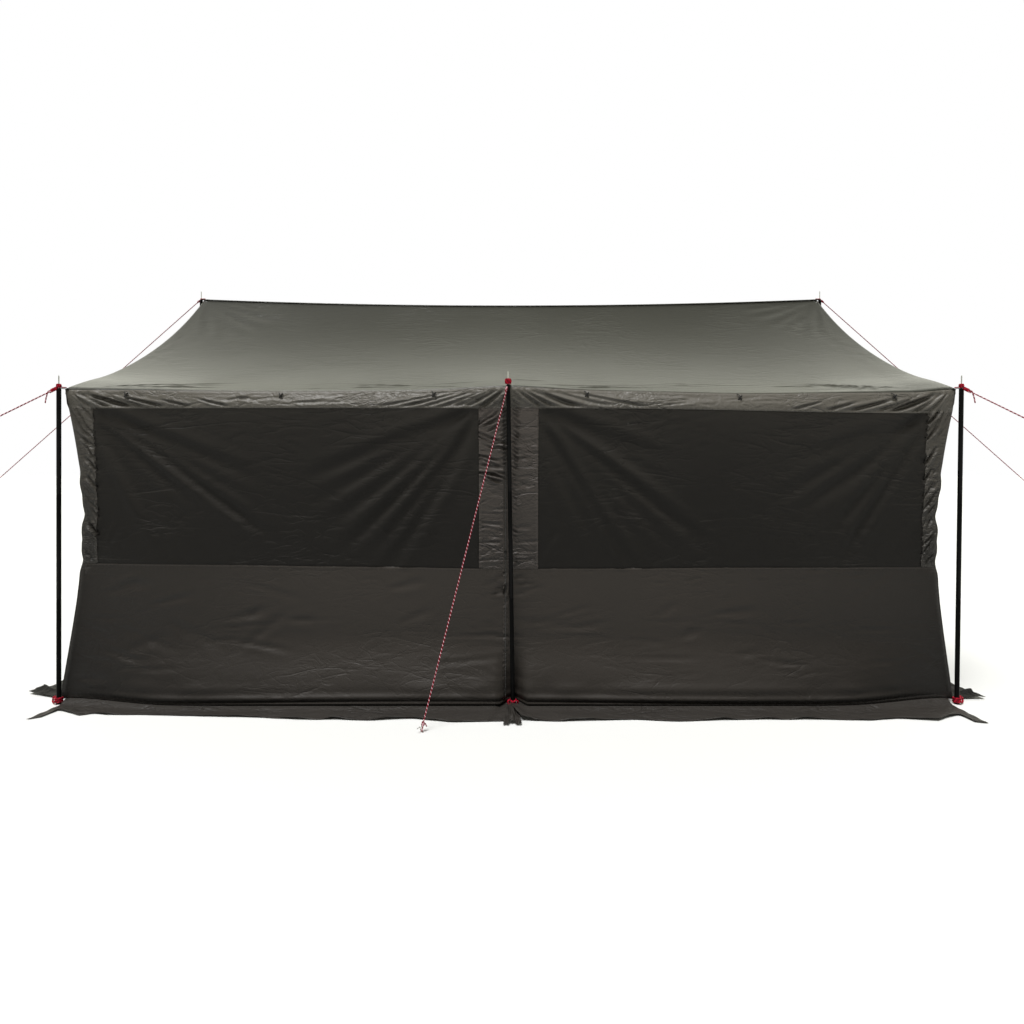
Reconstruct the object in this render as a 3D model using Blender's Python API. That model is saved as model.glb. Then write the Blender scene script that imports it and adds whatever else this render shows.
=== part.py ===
"""Family tent: a ridge tent of coated cloth on eight steel poles, with mesh windows, ground skirts and guylines."""

import math

import bmesh
import bpy
from mathutils import Vector

# All sizes are in metres, with +X along the ridge, the front towards -Y and the ground at Z = 0.

# Cloth
CLOTH = 0.003
GAP = 0.0003
ROOF_GAP = 0.0005
EAVE_Z = 1.62
RIDGE_Z = 2.47
RIDGE_SAG = 0.047
ROOF_SAG = 0.098
MIDDLE_RISE = 0.02
EAVE_HALF_LENGTH = 2.318
RIDGE_HALF_LENGTH = 2.336
ROOF_END_WAIST = 0.026
BASE_HALF_LENGTH = 2.33
EAVE_HALF_WIDTH = 1.525
BASE_HALF_WIDTH = 1.54
WAIST = 0.062
WAIST_SKEW = 1.15
ROOF_CELLS_ACROSS = 10
ROOF_CELLS_ALONG = 8
GABLE_INSET = 0.001
GABLE_ROWS = 4

# Wall panels
BASE_Z = 0.012
SEAM_Z = 0.69
WINDOW_TOP_Z = 1.53
WINDOW_OUTER_X = 2.19
WINDOW_LEFT_X = -0.16
WINDOW_RIGHT_X = 0.14
LOWER_ROWS = 6
WINDOW_ROWS = 8

# Ground skirts
SKIRT_LIFT = 0.013
SKIRT_STEPS = ((0.0, SKIRT_LIFT), (0.02, 0.006), (0.05, 0.0), (0.12, 0.0))
SKIRT_COLUMNS = 18
SKIRT_WAVE = 0.014
SKIRT_WAVE_LENGTH = 0.83
LONG_SKIRT_WIDTH = 0.215
LONG_SKIRT_INNER = (0.03, 2.295)
LONG_SKIRT_OUTER = (0.012, 2.362)
END_SKIRT_WIDTH = 0.25
END_SKIRT_INNER = (0.035, 1.50)
END_SKIRT_OUTER = (0.02, 1.41)

# Poles
POLE_RADIUS = 0.011
SPIKE_RADIUS = 0.003
SPIKE_LENGTH = 0.07
SPIKE_TIP = 0.006
POLE_SIDES = 16
CORNER_POLE = (2.325, 1.56)
MIDDLE_POLE_Y = 1.56
RIDGE_POLE_X = 2.36

# Tabs of the roof, each with an eyelet over a spike
TAB_THICKNESS = 0.004
TAB_RADIUS = 0.012
TAB_HALF_WIDTH = 0.009
TAB_OVERLAP = 0.004
TAB_ARC_STEPS = 14
EYELET_RADIUS = 0.0035
EYELET_CUTTER = (-0.01, 0.02)
EAVE_TAB_Z = EAVE_Z + 0.002
MIDDLE_TAB_Z = EAVE_TAB_Z + MIDDLE_RISE
RIDGE_TAB_Z = RIDGE_Z + 0.0002
RIDGE_TAB_START = 2.30

# Guylines and pegs
CORD_RADIUS = 0.0025
CORD_SIDES = 6
LOOP_RADIUS = 0.0062
LOOP_CORD_RADIUS = 0.0027
LOOP_STEPS = 12
CORD_BEND = 0.017
CORNER_REACH = 1.7
MIDDLE_PEG = (-0.41, 1.895)
RIDGE_PEG_X = 5.14
PEG_RADIUS = 0.003
PEG_LOOP_Z = 0.012
PEG_PROFILE = ((0.0, 0.0), (0.0, 0.034), (0.010, 0.044), (0.022, 0.040))

# Colours, as linear red, green and blue
ROOF_GREY = (0.085, 0.085, 0.072)
WALL_GREY = (0.075, 0.068, 0.060)
LOWER_GREY = (0.040, 0.034, 0.028)
MESH_BLACK = (0.016, 0.015, 0.014)
SKIRT_GREY = (0.048, 0.048, 0.041)
POLE_BLACK = (0.006, 0.006, 0.006)
CORD_RED = (0.42, 0.02, 0.035)
STEEL = (0.42, 0.42, 0.40)
CLOTH_ROUGHNESS = 0.55
CORD_ROUGHNESS = 0.8
POLE_ROUGHNESS = 0.4
POLE_METALLIC = 0.6
STEEL_ROUGHNESS = 0.35

UP = Vector((0, 0, 1))


def finished(name, mesh, colour, roughness, metallic=0.0):
    """The mesh as an object with its own plain material, every face turned outwards."""
    bmesh.ops.recalc_face_normals(mesh, faces=mesh.faces)
    data = bpy.data.meshes.new(name)
    mesh.to_mesh(data)
    mesh.free()
    material = bpy.data.materials.new(name)
    material.use_nodes = True
    surface = material.node_tree.nodes["Principled BSDF"]
    surface.inputs["Base Color"].default_value = (*colour, 1.0)
    surface.inputs["Roughness"].default_value = roughness
    surface.inputs["Metallic"].default_value = metallic
    data.materials.append(material)
    made = bpy.data.objects.new(name, data)
    bpy.context.scene.collection.objects.link(made)
    return made


def combine(target, helper, operation):
    """Joins the helper to the target, or cuts it away, and hides it."""
    helper.hide_render = True
    helper.display_type = "WIRE"
    modifier = target.modifiers.new(helper.name, "BOOLEAN")
    modifier.operation = operation
    modifier.solver = "EXACT"
    modifier.object = helper


def ring_faces(mesh, rings, closed):
    """Faces between neighbouring rings of points, with a cap on each end of an open row."""
    pairs = list(zip(rings, rings[1:]))
    if closed:
        pairs.append((rings[-1], rings[0]))
    else:
        mesh.faces.new(rings[0])
        mesh.faces.new(rings[-1])
    for low, high in pairs:
        for i in range(len(low)):
            j = (i + 1) % len(low)
            mesh.faces.new((low[i], low[j], high[j], high[i]))


def turned(mesh, centre, profile, sides):
    """An upright round body, from its radius at each height."""
    rings = []
    for radius, height in profile:
        ring = []
        for i in range(sides):
            angle = 2 * math.pi * (i + 0.5) / sides
            offset = Vector((radius * math.cos(angle), radius * math.sin(angle), height))
            ring.append(mesh.verts.new(centre + offset))
        rings.append(ring)
    ring_faces(mesh, rings, False)


def sweep(mesh, path, across, radius, sides, closed):
    """A round bar along a flat path, where across stands at right angles to the plane of the path."""
    rings = []
    last = len(path) - 1
    for i, point in enumerate(path):
        before = path[i - 1] if closed or i > 0 else point * 2 - path[1]
        after = path[(i + 1) % len(path)] if closed or i < last else point * 2 - path[last - 1]
        leaving = (after - point).normalized()
        along = ((point - before).normalized() + leaving).normalized()
        lift = across.cross(along) / along.dot(leaving)
        ring = []
        for k in range(sides):
            angle = 2 * math.pi * k / sides
            offset = across * math.cos(angle) + lift * math.sin(angle)
            ring.append(mesh.verts.new(point + offset * radius))
        rings.append(ring)
    ring_faces(mesh, rings, closed)


def cloth(name, grid, inward, colour, missing=()):
    """A closed panel from a grid of points and their twins one thickness further in. Missing cells stay open."""
    mesh = bmesh.new()
    rows = len(grid) - 1
    columns = len(grid[0]) - 1
    cells = {(r, c) for r in range(rows) for c in range(columns)} - set(missing)
    points = {}
    for r, c in cells:
        for corner in ((r, c), (r, c + 1), (r + 1, c + 1), (r + 1, c)):
            if corner not in points:
                outer = Vector(grid[corner[0]][corner[1]])
                points[corner] = (mesh.verts.new(outer), mesh.verts.new(outer + inward))
    for r, c in cells:
        corners = ((r, c), (r, c + 1), (r + 1, c + 1), (r + 1, c))
        beyond = ((r - 1, c), (r, c + 1), (r + 1, c), (r, c - 1))
        mesh.faces.new([points[corner][0] for corner in corners])
        mesh.faces.new([points[corner][1] for corner in corners])
        for side in range(4):
            if beyond[side] not in cells:
                a = points[corners[side]]
                b = points[corners[(side + 1) % 4]]
                mesh.faces.new((a[0], b[0], b[1], a[1]))
    return finished(name, mesh, colour, CLOTH_ROUGHNESS)


def spaced(start, end, count):
    return [start + (end - start) * i / count for i in range(count + 1)]


def waist(z):
    """How far the tensioned wall draws in at this height."""
    return WAIST * math.sin(math.pi * min(z / EAVE_Z, 1.0) ** WAIST_SKEW)


def half_length(z):
    share = min(z / EAVE_Z, 1.0)
    return BASE_HALF_LENGTH + (EAVE_HALF_LENGTH - BASE_HALF_LENGTH) * share - waist(z)


def half_width(z):
    share = min(z / EAVE_Z, 1.0)
    return BASE_HALF_WIDTH + (EAVE_HALF_WIDTH - BASE_HALF_WIDTH) * share - waist(z)


def inner_half_width(z):
    """Where an end wall stops, just inside the long walls."""
    return half_width(z) - CLOTH - GAP


def eave_rise(along):
    """How far the middle pole lifts the eave, fading to nothing at the next columns of the roof."""
    return MIDDLE_RISE * max(0.0, 1 - abs(along) * ROOF_CELLS_ALONG / 2)


def roof_end_x(share):
    """Half the length of the roof, where share runs from the eave to the ridge."""
    straight = EAVE_HALF_LENGTH + (RIDGE_HALF_LENGTH - EAVE_HALF_LENGTH) * share
    return straight - ROOF_END_WAIST * 4 * share * (1 - share)


def roof_z(along, share):
    """Height of the underside of the roof, where along runs from -1 to 1 between the ends."""
    ridge = RIDGE_Z - RIDGE_SAG * (1 - along * along)
    eave = EAVE_Z + eave_rise(along)
    return eave + (ridge - eave) * share - ROOF_SAG * 4 * share * (1 - share)


def end_roof_z(y):
    """Height of the roof's underside over an end wall, straight between the rows of the roof."""
    place = (1 - abs(y) / EAVE_HALF_WIDTH) * ROOF_CELLS_ACROSS
    row = min(int(place), ROOF_CELLS_ACROSS - 1)
    low = roof_z(1, row / ROOF_CELLS_ACROSS)
    high = roof_z(1, (row + 1) / ROOF_CELLS_ACROSS)
    return low + (high - low) * (place - row)


def tab_outline(spike, start, lateral):
    """A strip from start to a round end about the spike, where lateral holds the two sides of the strip."""
    back = (start - spike).normalized()
    side = UP.cross(back)
    outline = [start + side * lateral[0], start + side * lateral[1]]
    first = math.asin(lateral[1] / TAB_RADIUS)
    last = 2 * math.pi + math.asin(lateral[0] / TAB_RADIUS)
    for angle in spaced(first, last, TAB_ARC_STEPS):
        outline.append(spike + (back * math.cos(angle) + side * math.sin(angle)) * TAB_RADIUS)
    return outline


def roof(name, turn):
    """One half of the roof with its tabs: turn is 1 for the front, or -1 for the back, half a turn round."""
    grid = []
    for share in spaced(0, 1, ROOF_CELLS_ACROSS):
        y = GAP / 2 + (EAVE_HALF_WIDTH - GAP / 2) * (1 - share)
        row = []
        for along in spaced(-1, 1, ROOF_CELLS_ALONG):
            row.append((turn * along * roof_end_x(share), -turn * y, roof_z(along, share)))
        grid.append(row)
    half = cloth(name, grid, UP * CLOTH, ROOF_GREY)
    inside_y = EAVE_HALF_WIDTH - TAB_OVERLAP
    both = (-TAB_HALF_WIDTH, TAB_HALF_WIDTH)
    tabs = []
    for x in (-CORNER_POLE[0], 0, CORNER_POLE[0]):
        pole_y = CORNER_POLE[1] if x else MIDDLE_POLE_Y
        inside_x = x * (EAVE_HALF_LENGTH - TAB_HALF_WIDTH) / CORNER_POLE[0]
        tab_z = EAVE_TAB_Z if x else MIDDLE_TAB_Z
        spike = Vector((turn * x, -turn * pole_y, tab_z))
        start = Vector((turn * inside_x, -turn * inside_y, tab_z))
        tabs.append((spike, start, both))
    if turn == 1:
        for side in (-1, 1):
            spike = Vector((side * RIDGE_POLE_X, 0, RIDGE_TAB_Z))
            start = Vector((side * RIDGE_TAB_START, 0, RIDGE_TAB_Z))
            lateral = (-TAB_HALF_WIDTH, -GAP) if side == -1 else (GAP, TAB_HALF_WIDTH)
            tabs.append((spike, start, lateral))
    plates = bmesh.new()
    eyelets = bmesh.new()
    for spike, start, lateral in tabs:
        outline = tab_outline(spike, start, lateral)
        low = [plates.verts.new(point) for point in outline]
        high = [plates.verts.new(point + UP * TAB_THICKNESS) for point in outline]
        ring_faces(plates, [low, high], False)
        profile = [(EYELET_RADIUS, height) for height in EYELET_CUTTER]
        turned(eyelets, spike, profile, POLE_SIDES)
    combine(half, finished(name + "_tabs", plates, ROOF_GREY, CLOTH_ROUGHNESS), "UNION")
    combine(half, finished(name + "_eyelets", eyelets, ROOF_GREY, CLOTH_ROUGHNESS), "DIFFERENCE")


def long_walls(side_name, turn, left_name, right_name):
    """The panels of one long side, half a turn round for the back."""
    inward = Vector((0, turn * CLOTH, 0))

    def row_at(z, xs):
        return [(turn * x, -turn * half_width(z), z) for x in xs]

    window_rows = spaced(SEAM_Z, WINDOW_TOP_Z, WINDOW_ROWS)
    rise_end = EAVE_HALF_LENGTH * 2 / ROOF_CELLS_ALONG
    left = [-WINDOW_OUTER_X, -rise_end, WINDOW_LEFT_X]
    right = [WINDOW_RIGHT_X, rise_end, WINDOW_OUTER_X]
    upper = []
    for z in window_rows:
        end = half_length(z)
        upper.append(row_at(z, [-end, *left, 0, *right, end]))
    eave = []
    for x in [-EAVE_HALF_LENGTH, *left, 0, *right, EAVE_HALF_LENGTH]:
        z = EAVE_Z - GAP + eave_rise(x / EAVE_HALF_LENGTH)
        eave += row_at(z, [x])
    upper.append(eave)
    holes = [(r, c) for r in range(WINDOW_ROWS) for c in (1, 2, 5, 6)]
    cloth(side_name + "_upper_wall", upper, inward, WALL_GREY, holes)
    window_rows[-1] -= GAP
    spans = (
        (left_name, -WINDOW_OUTER_X + GAP, WINDOW_LEFT_X - GAP),
        (right_name, WINDOW_RIGHT_X + GAP, WINDOW_OUTER_X - GAP),
    )
    for name, start, end in spans:
        grid = [row_at(z, (start, end)) for z in window_rows]
        cloth(f"{side_name}_{name}_window", grid, inward, MESH_BLACK)
    lower = []
    for z in spaced(BASE_Z, SEAM_Z - GAP, LOWER_ROWS):
        lower.append(row_at(z, (-half_length(z), half_length(z))))
    cloth(side_name + "_lower_wall", lower, inward, LOWER_GREY)


def end_walls(side_name, side):
    """The panels of one end: side is -1 on the left and 1 on the right."""
    inward = Vector((-side * CLOTH, 0, 0))
    stations = spaced(-EAVE_HALF_WIDTH, EAVE_HALF_WIDTH, 2 * ROOF_CELLS_ACROSS)[1:-1]
    window_rows = spaced(SEAM_Z, WINDOW_TOP_Z, WINDOW_ROWS)
    upper = []
    for z in window_rows:
        edge = inner_half_width(z)
        upper.append([(side * half_length(z), y, z) for y in [-edge, *stations, edge]])
    for share in spaced(0, 1, GABLE_ROWS)[1:]:
        row = []
        for column in range(len(stations) + 2):
            outermost = column in (0, len(stations) + 1)
            y = stations[min(max(column - 1, 0), len(stations) - 1)]
            if outermost:
                y = math.copysign(inner_half_width(EAVE_Z), y)
            top = end_roof_z(y) - ROOF_GAP
            z = WINDOW_TOP_Z + (top - WINDOW_TOP_Z) * share
            if outermost:
                y = math.copysign(inner_half_width(z), y)
            up_roof = 1 - abs(y) / EAVE_HALF_WIDTH
            low_x = half_length(WINDOW_TOP_Z)
            x = low_x + (roof_end_x(up_roof) - GABLE_INSET - low_x) * share
            row.append((side * x, y, z))
        upper.append(row)
    last = len(stations)
    holes = [(r, c) for r in range(WINDOW_ROWS) for c in range(1, last)]
    cloth(side_name + "_upper_wall", upper, inward, WALL_GREY, holes)
    window_rows[-1] -= GAP
    window_edge = stations[-1] - GAP
    window = []
    for z in window_rows:
        window.append([(side * half_length(z), y, z) for y in (-window_edge, window_edge)])
    cloth(side_name + "_window", window, inward, MESH_BLACK)
    lower = []
    for z in spaced(BASE_Z, SEAM_Z - GAP, LOWER_ROWS):
        edge = inner_half_width(z)
        lower.append([(side * half_length(z), y, z) for y in (-edge, edge)])
    cloth(side_name + "_lower_wall", lower, inward, LOWER_GREY)


def skirt(name, place, wall, width, inner, outer):
    """A strip on the ground beside half of one wall, where place turns (along, out) into X and Y."""
    reach = [step[0] for step in SKIRT_STEPS]
    heights = [step[1] for step in SKIRT_STEPS]
    grid = []
    for i in range(SKIRT_COLUMNS + 1):
        share = i / SKIRT_COLUMNS
        near = inner[0] + (inner[1] - inner[0]) * share
        far = outer[0] + (outer[1] - outer[0]) * share
        edge = width + SKIRT_WAVE * math.sin(2 * math.pi * far / SKIRT_WAVE_LENGTH)
        row = []
        for out, z in zip(reach + [edge], heights + [0.0]):
            along = near + (far - near) * out / edge
            row.append((*place(along, wall + GAP + out), z))
        grid.append(row)
    cloth(name, grid, UP * CLOTH, SKIRT_GREY)


def skirts():
    wall_y = half_width(BASE_Z)
    wall_x = half_length(BASE_Z)
    for x_name, x_side in (("left", -1), ("right", 1)):
        for y_name, y_side in (("front", -1), ("back", 1)):
            skirt(
                f"{y_name}_{x_name}_skirt",
                lambda along, out, x=x_side, y=y_side: (x * along, y * out),
                wall_y,
                LONG_SKIRT_WIDTH,
                LONG_SKIRT_INNER,
                LONG_SKIRT_OUTER,
            )
            skirt(
                f"{x_name}_{y_name}_skirt",
                lambda along, out, x=x_side, y=y_side: (x * out, y * along),
                wall_x,
                END_SKIRT_WIDTH,
                END_SKIRT_INNER,
                END_SKIRT_OUTER,
            )


def pole(name, x, y, tab_z):
    """A tube with a flat foot and a spike, whose shoulder carries the tab."""
    top = tab_z - GAP
    profile = (
        (POLE_RADIUS, 0.0),
        (POLE_RADIUS, top),
        (SPIKE_RADIUS, top),
        (SPIKE_RADIUS, top + SPIKE_LENGTH - SPIKE_TIP),
        (SPIKE_RADIUS / 3, top + SPIKE_LENGTH),
    )
    mesh = bmesh.new()
    turned(mesh, Vector((x, y, 0)), profile, POLE_SIDES)
    finished(name, mesh, POLE_BLACK, POLE_ROUGHNESS, POLE_METALLIC)


def loop(mesh, centre):
    """A level loop of cord about an upright bar."""
    path = []
    for i in range(LOOP_STEPS):
        angle = 2 * math.pi * i / LOOP_STEPS
        path.append(centre + Vector((math.cos(angle), math.sin(angle), 0)) * LOOP_RADIUS)
    sweep(mesh, path, UP, LOOP_CORD_RADIUS, CORD_SIDES, True)


def guyline(name, pole_xy, peg_xy, tab_z):
    """A taut cord from its loop on the spike to its loop on the peg, and the peg with its bent head."""
    top = Vector((*pole_xy, tab_z + TAB_THICKNESS + GAP + LOOP_CORD_RADIUS))
    low = Vector((*peg_xy, PEG_LOOP_Z))
    away = Vector((low.x - top.x, low.y - top.y, 0)).normalized()
    across = UP.cross(away)
    path = [top + away * LOOP_RADIUS, top + away * CORD_BEND, low - away * LOOP_RADIUS]
    mesh = bmesh.new()
    sweep(mesh, path, across, CORD_RADIUS, CORD_SIDES, False)
    cord = finished(name + "_guyline", mesh, CORD_RED, CORD_ROUGHNESS)
    loops = bmesh.new()
    loop(loops, top)
    loop(loops, low)
    combine(cord, finished(name + "_guyline_loops", loops, CORD_RED, CORD_ROUGHNESS), "UNION")
    bar = [Vector((*peg_xy, 0)) + away * out + UP * height for out, height in PEG_PROFILE]
    mesh = bmesh.new()
    sweep(mesh, bar, across, PEG_RADIUS, CORD_SIDES, False)
    finished(name + "_peg", mesh, STEEL, STEEL_ROUGHNESS, 1.0)


def main():
    for old in list(bpy.data.objects):
        bpy.data.objects.remove(old, do_unlink=True)
    roof("front_roof", 1)
    roof("back_roof", -1)
    long_walls("front", 1, "left", "right")
    long_walls("back", -1, "right", "left")
    end_walls("left", -1)
    end_walls("right", 1)
    skirts()
    for y_name, y_side in (("front", -1), ("back", 1)):
        for x_name, x_side in (("left", -1), ("right", 1)):
            x = x_side * CORNER_POLE[0]
            y = y_side * CORNER_POLE[1]
            peg = (x + x_side * CORNER_REACH, y + y_side * CORNER_REACH)
            pole(f"{y_name}_{x_name}_pole", x, y, EAVE_TAB_Z)
            guyline(f"{y_name}_{x_name}", (x, y), peg, EAVE_TAB_Z)
        y = y_side * MIDDLE_POLE_Y
        peg = (-y_side * MIDDLE_PEG[0], y_side * MIDDLE_PEG[1])
        pole(f"{y_name}_centre_pole", 0, y, MIDDLE_TAB_Z)
        guyline(f"{y_name}_centre", (0, y), peg, MIDDLE_TAB_Z)
    for x_name, x_side in (("left", -1), ("right", 1)):
        x = x_side * RIDGE_POLE_X
        pole(f"{x_name}_ridge_pole", x, 0, RIDGE_TAB_Z)
        guyline(f"{x_name}_ridge", (x, 0), (x_side * RIDGE_PEG_X, 0), RIDGE_TAB_Z)


main()
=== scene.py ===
"""Family tent, dressed for the render: taut cloth with its folds, net windows, tabs, cords, zips and pegs."""

import math
from typing import NamedTuple

import bpy
import numpy as np
from bpy.props import FloatProperty, FloatVectorProperty, PointerProperty
from bpy.types import NodeSocket, Operator, Panel, PropertyGroup
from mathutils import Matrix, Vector


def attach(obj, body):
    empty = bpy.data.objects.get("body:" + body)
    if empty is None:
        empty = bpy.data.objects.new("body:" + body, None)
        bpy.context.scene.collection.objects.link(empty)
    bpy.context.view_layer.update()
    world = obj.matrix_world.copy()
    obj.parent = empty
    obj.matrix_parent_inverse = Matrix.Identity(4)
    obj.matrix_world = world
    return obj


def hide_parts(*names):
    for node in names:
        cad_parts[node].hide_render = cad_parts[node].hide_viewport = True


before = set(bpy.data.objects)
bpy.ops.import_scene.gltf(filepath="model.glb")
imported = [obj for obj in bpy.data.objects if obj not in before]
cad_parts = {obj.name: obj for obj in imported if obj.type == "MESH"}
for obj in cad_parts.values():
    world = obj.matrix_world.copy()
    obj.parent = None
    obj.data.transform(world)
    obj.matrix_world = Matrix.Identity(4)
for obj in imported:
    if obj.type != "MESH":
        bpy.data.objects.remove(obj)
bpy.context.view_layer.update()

bl_info = {
    "name": "Family tent",
    "version": (1, 0, 0),
    "blender": (4, 5, 0),
    "location": "View3D > Sidebar > Tent",
    "description": "Makes the cloth, cords and fittings of a family ridge tent around its CAD frame",
    "category": "Object",
}

# All sizes are in metres, with +X along the ridge, the front towards -Y and the ground at Z = 0.
# The shape of the taut cloth, as in the CAD.
GAP = 0.0003
EAVE_Z = 1.62
RIDGE_Z = 2.47
RIDGE_SAG = 0.047
ROOF_SAG = 0.098
BAY_SAG = 0.018
MIDDLE_RISE = 0.02
EAVE_HALF_LENGTH = 2.318
RIDGE_HALF_LENGTH = 2.336
ROOF_END_WAIST = 0.026
BASE_HALF_LENGTH = 2.33
EAVE_HALF_WIDTH = 1.525
BASE_HALF_WIDTH = 1.54
WAIST = 0.062
WAIST_SKEW = 1.15
EAVE_BOW = 0.045
EAVE_DIP = 0.004
RIGHT_DROP = 0.013
EAVE_ROUND = 0.035
# The tent is pitched a little out of square: two opposite corners stand further in at the ground.
CORNER_LEAN = 0.042
LEAN_TOP_Z = 1.1

# The edges of the wall panels.
BASE_Z = 0.012
SEAM_Z = 0.69
WINDOW_TOP_Z = 1.53
WINDOW_OUTER_X = 2.19
WINDOW_LEFT_X = -0.16
WINDOW_RIGHT_X = 0.14
END_WINDOW_HALF = 1.3725

# The band turns over the eave from its top row, and the roof starts at this share of its slope.
BAND_TOP = EAVE_Z - 0.022
ROOF_START = 0.022
EAVE_ROWS = 4
# The band's folds at this height run on over the eave.
FOLDS_OVER_Z = EAVE_Z - 0.012
# The length up the roof's slope, near enough to place its folds.
SLOPE_LENGTH = 1.76
# The roof's lip over each gable: how far it hangs down and stands out.
LIP = 0.012
LIP_OUT = 0.0015
# A seam laps this far over the next panel, and its top layer stands this much proud.
SEAM_LAP = 0.007
PROUD = 0.0012

# Poles, tabs, cords and pegs.
POLE_RADIUS = 0.011
GROOVE_RADIUS = 0.0104
SPIKE_RADIUS = 0.003
SPIKE_LENGTH = 0.07
CORNER_POLE = (2.325, 1.56)
MIDDLE_POLE_Y = 1.56
# How far a pole's foot and its top stand off its place: the two leaning corners' and the middle ones.
LEANING_POLE = (-0.028, -0.004)
MIDDLE_LEAN = (0.012, -0.012)
RIDGE_POLE_X = 2.36
TAB_THICKNESS = 0.004
EAVE_TAB_Z = EAVE_Z + 0.002
MIDDLE_TAB_Z = EAVE_TAB_Z + MIDDLE_RISE
RIDGE_TAB_Z = RIDGE_Z + 0.0002
CORNER_REACH = 1.7
MIDDLE_PEG = (-0.41, 1.895)
RIDGE_PEG_X = 5.14
PEG_RADIUS = 0.003
PEG_LOOP_Z = 0.012
LOOP_CORD_RADIUS = 0.0027
KNOT_CORD_RADIUS = 0.0031
TOGGLE_XS = (-2.0, -1.2, -0.4, 0.4, 1.2, 2.0)

# The zip beside the middle pole.
ZIP_X = -0.027
ZIP_WIDTH = 0.026
ZIP_FOOT_Z = 0.03
ZIP_TOOTH = (0.006, 0.0022, 0.0036)
ZIP_TOOTH_PITCH = 0.0055
ZIP_SLIDER = (0.011, 0.006, 0.015)
ZIP_SLIDER_Z = 0.78

UP = Vector((0, 0, 1))


def linear(code):
    """An sRGB hex colour as linear red, green, blue and alpha."""
    values = [int(code[i : i + 2], 16) / 255 for i in (1, 3, 5)]
    return (*[v / 12.92 if v <= 0.04045 else ((v + 0.055) / 1.055) ** 2.4 for v in values], 1.0)


def colour_of(name, code, description):
    """A colour that the user may change, from its hex code."""
    return FloatVectorProperty(
        name=name, description=description, subtype="COLOR", size=4, min=0, max=1, default=linear(code)
    )


class TentSizes(PropertyGroup):
    """Sizes of the cloth and cords that a user would change."""

    cloth: FloatProperty(
        name="Cloth", description="Thickness of the cloth", unit="LENGTH",
        default=0.001, min=0.0005, max=0.003,
    )
    folds: FloatProperty(
        name="Folds", description="Depth of the folds, as a factor", subtype="FACTOR",
        default=1.0, min=0.0, max=2.0,
    )
    cord: FloatProperty(
        name="Cord", description="Radius of the guylines", unit="LENGTH",
        default=0.003, min=0.001, max=0.004,
    )
    tail: FloatProperty(
        name="Tail", description="Length of a knot's loose end", unit="LENGTH",
        default=0.065, min=0.02, max=0.12,
    )
    skirt: FloatProperty(
        name="Skirt", description="Width of the ground skirts, as a factor", subtype="FACTOR",
        default=1.0, min=0.5, max=1.2,
    )


class TentColours(PropertyGroup):
    """Colours of the cloth, cords and metal."""

    roof: colour_of("Roof", "#2e2e25", "Coated cloth of the roof")
    wall: colour_of("Wall", "#3a3531", "Coated cloth of the upper walls")
    corner: colour_of("Corner strips", "#3a3732", "Coated cloth of the corner strips")
    # The band's colour is lighter than the wall's and the roof's: painted light, for the light the band
    # catches where it turns up over the eave.
    band: colour_of("Eave band", "#4a4741", "Coated cloth of the band under the eave")
    lower: colour_of("Lower wall", "#2b2723", "Heavier coated cloth of the lower walls")
    net: colour_of("Net", "#1f1d1a", "Net of the windows")
    skirt: colour_of("Skirt", "#2d2a27", "Coated cloth of the ground skirts along the sides")
    # The end skirts' darker colour is painted shade.
    end_skirt: colour_of("End skirt", "#1a1917", "Coated cloth of the ground skirts at the ends")
    pole: colour_of("Pole", "#040404", "Powder coat of the tubes")
    cord: colour_of("Cord", "#7a071c", "Cover yarn of the guylines")
    fleck: colour_of("Fleck", "#e0b4bc", "Marker yarn of the guylines")
    knot: colour_of("Knot", "#800a20", "Cover yarn of the knots and ties")
    knot_fleck: colour_of("Knot fleck", "#c01430", "Marker yarn of the knots and ties")
    strap: colour_of("Strap", "#1b1a18", "Webbing, toggles and zip pulls")
    coil: colour_of("Coil", "#2a2927", "Teeth of the zips")
    steel: colour_of("Steel", "#e2e2de", "Spikes and pegs")


def fill(tree, node, inputs):
    """Sets or links a node's inputs, which are given in order, or by number or name."""
    for name, value in inputs.items() if isinstance(inputs, dict) else enumerate(inputs):
        if isinstance(value, NodeSocket):
            tree.links.new(value, node.inputs[name])
        else:
            node.inputs[name].default_value = value


def add(tree, kind, inputs=(), out=0, **settings):
    """Adds a node with its settings and links, and gives one of its outputs."""
    node = tree.nodes.new("ShaderNode" + kind)
    for name, value in settings.items():
        setattr(node, name, value)
    fill(tree, node, inputs)
    return node.outputs[out]


def surface_of(name):
    """A new node material, with its tree and its Principled surface."""
    material = bpy.data.materials.new(name)
    material.use_nodes = True
    tree = material.node_tree
    return material, tree, tree.nodes["Principled BSDF"]


def tinted(tree, colour, darker, lighter, share):
    """The colour, moved between a darker and a lighter tone of itself."""
    low = [channel * darker for channel in colour[:3]] + [1.0]
    high = [min(channel * lighter, 1.0) for channel in colour[:3]] + [1.0]
    return add(tree, "Mix", {0: share, 6: low, 7: high}, 2, data_type="RGBA")


# A plain weave is near 0.3 mm a thread, which no view shows, so it is drawn eight times as coarse.
WEAVE_PITCH = 0.0024
# Lockstitches are 3 mm long and are drawn twice as long, in two rows beside each sewn edge.
STITCH_PITCH = 0.006
STITCH_SHARE = 0.66
STITCH_ROWS = (0.004, 0.011)
THREAD_HALF_WIDTH = 0.0009
HEM_WIDTH = 0.016
PUCKER_PITCH = 0.021
# Creases of coated cloth and of net: how dense each kind is over the cloth's width and length, and how deep.
CLOTH_CREASES = (((2.6, 8.0, 1.0), 0.0035), ((7.0, 13.0, 1.0), 0.0022), ((21.0, 30.0, 1.0), 0.001))
NET_CREASES = (((1.6, 6.0, 1.0), 0.0025), ((5.0, 12.0, 1.0), 0.0015))


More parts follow.
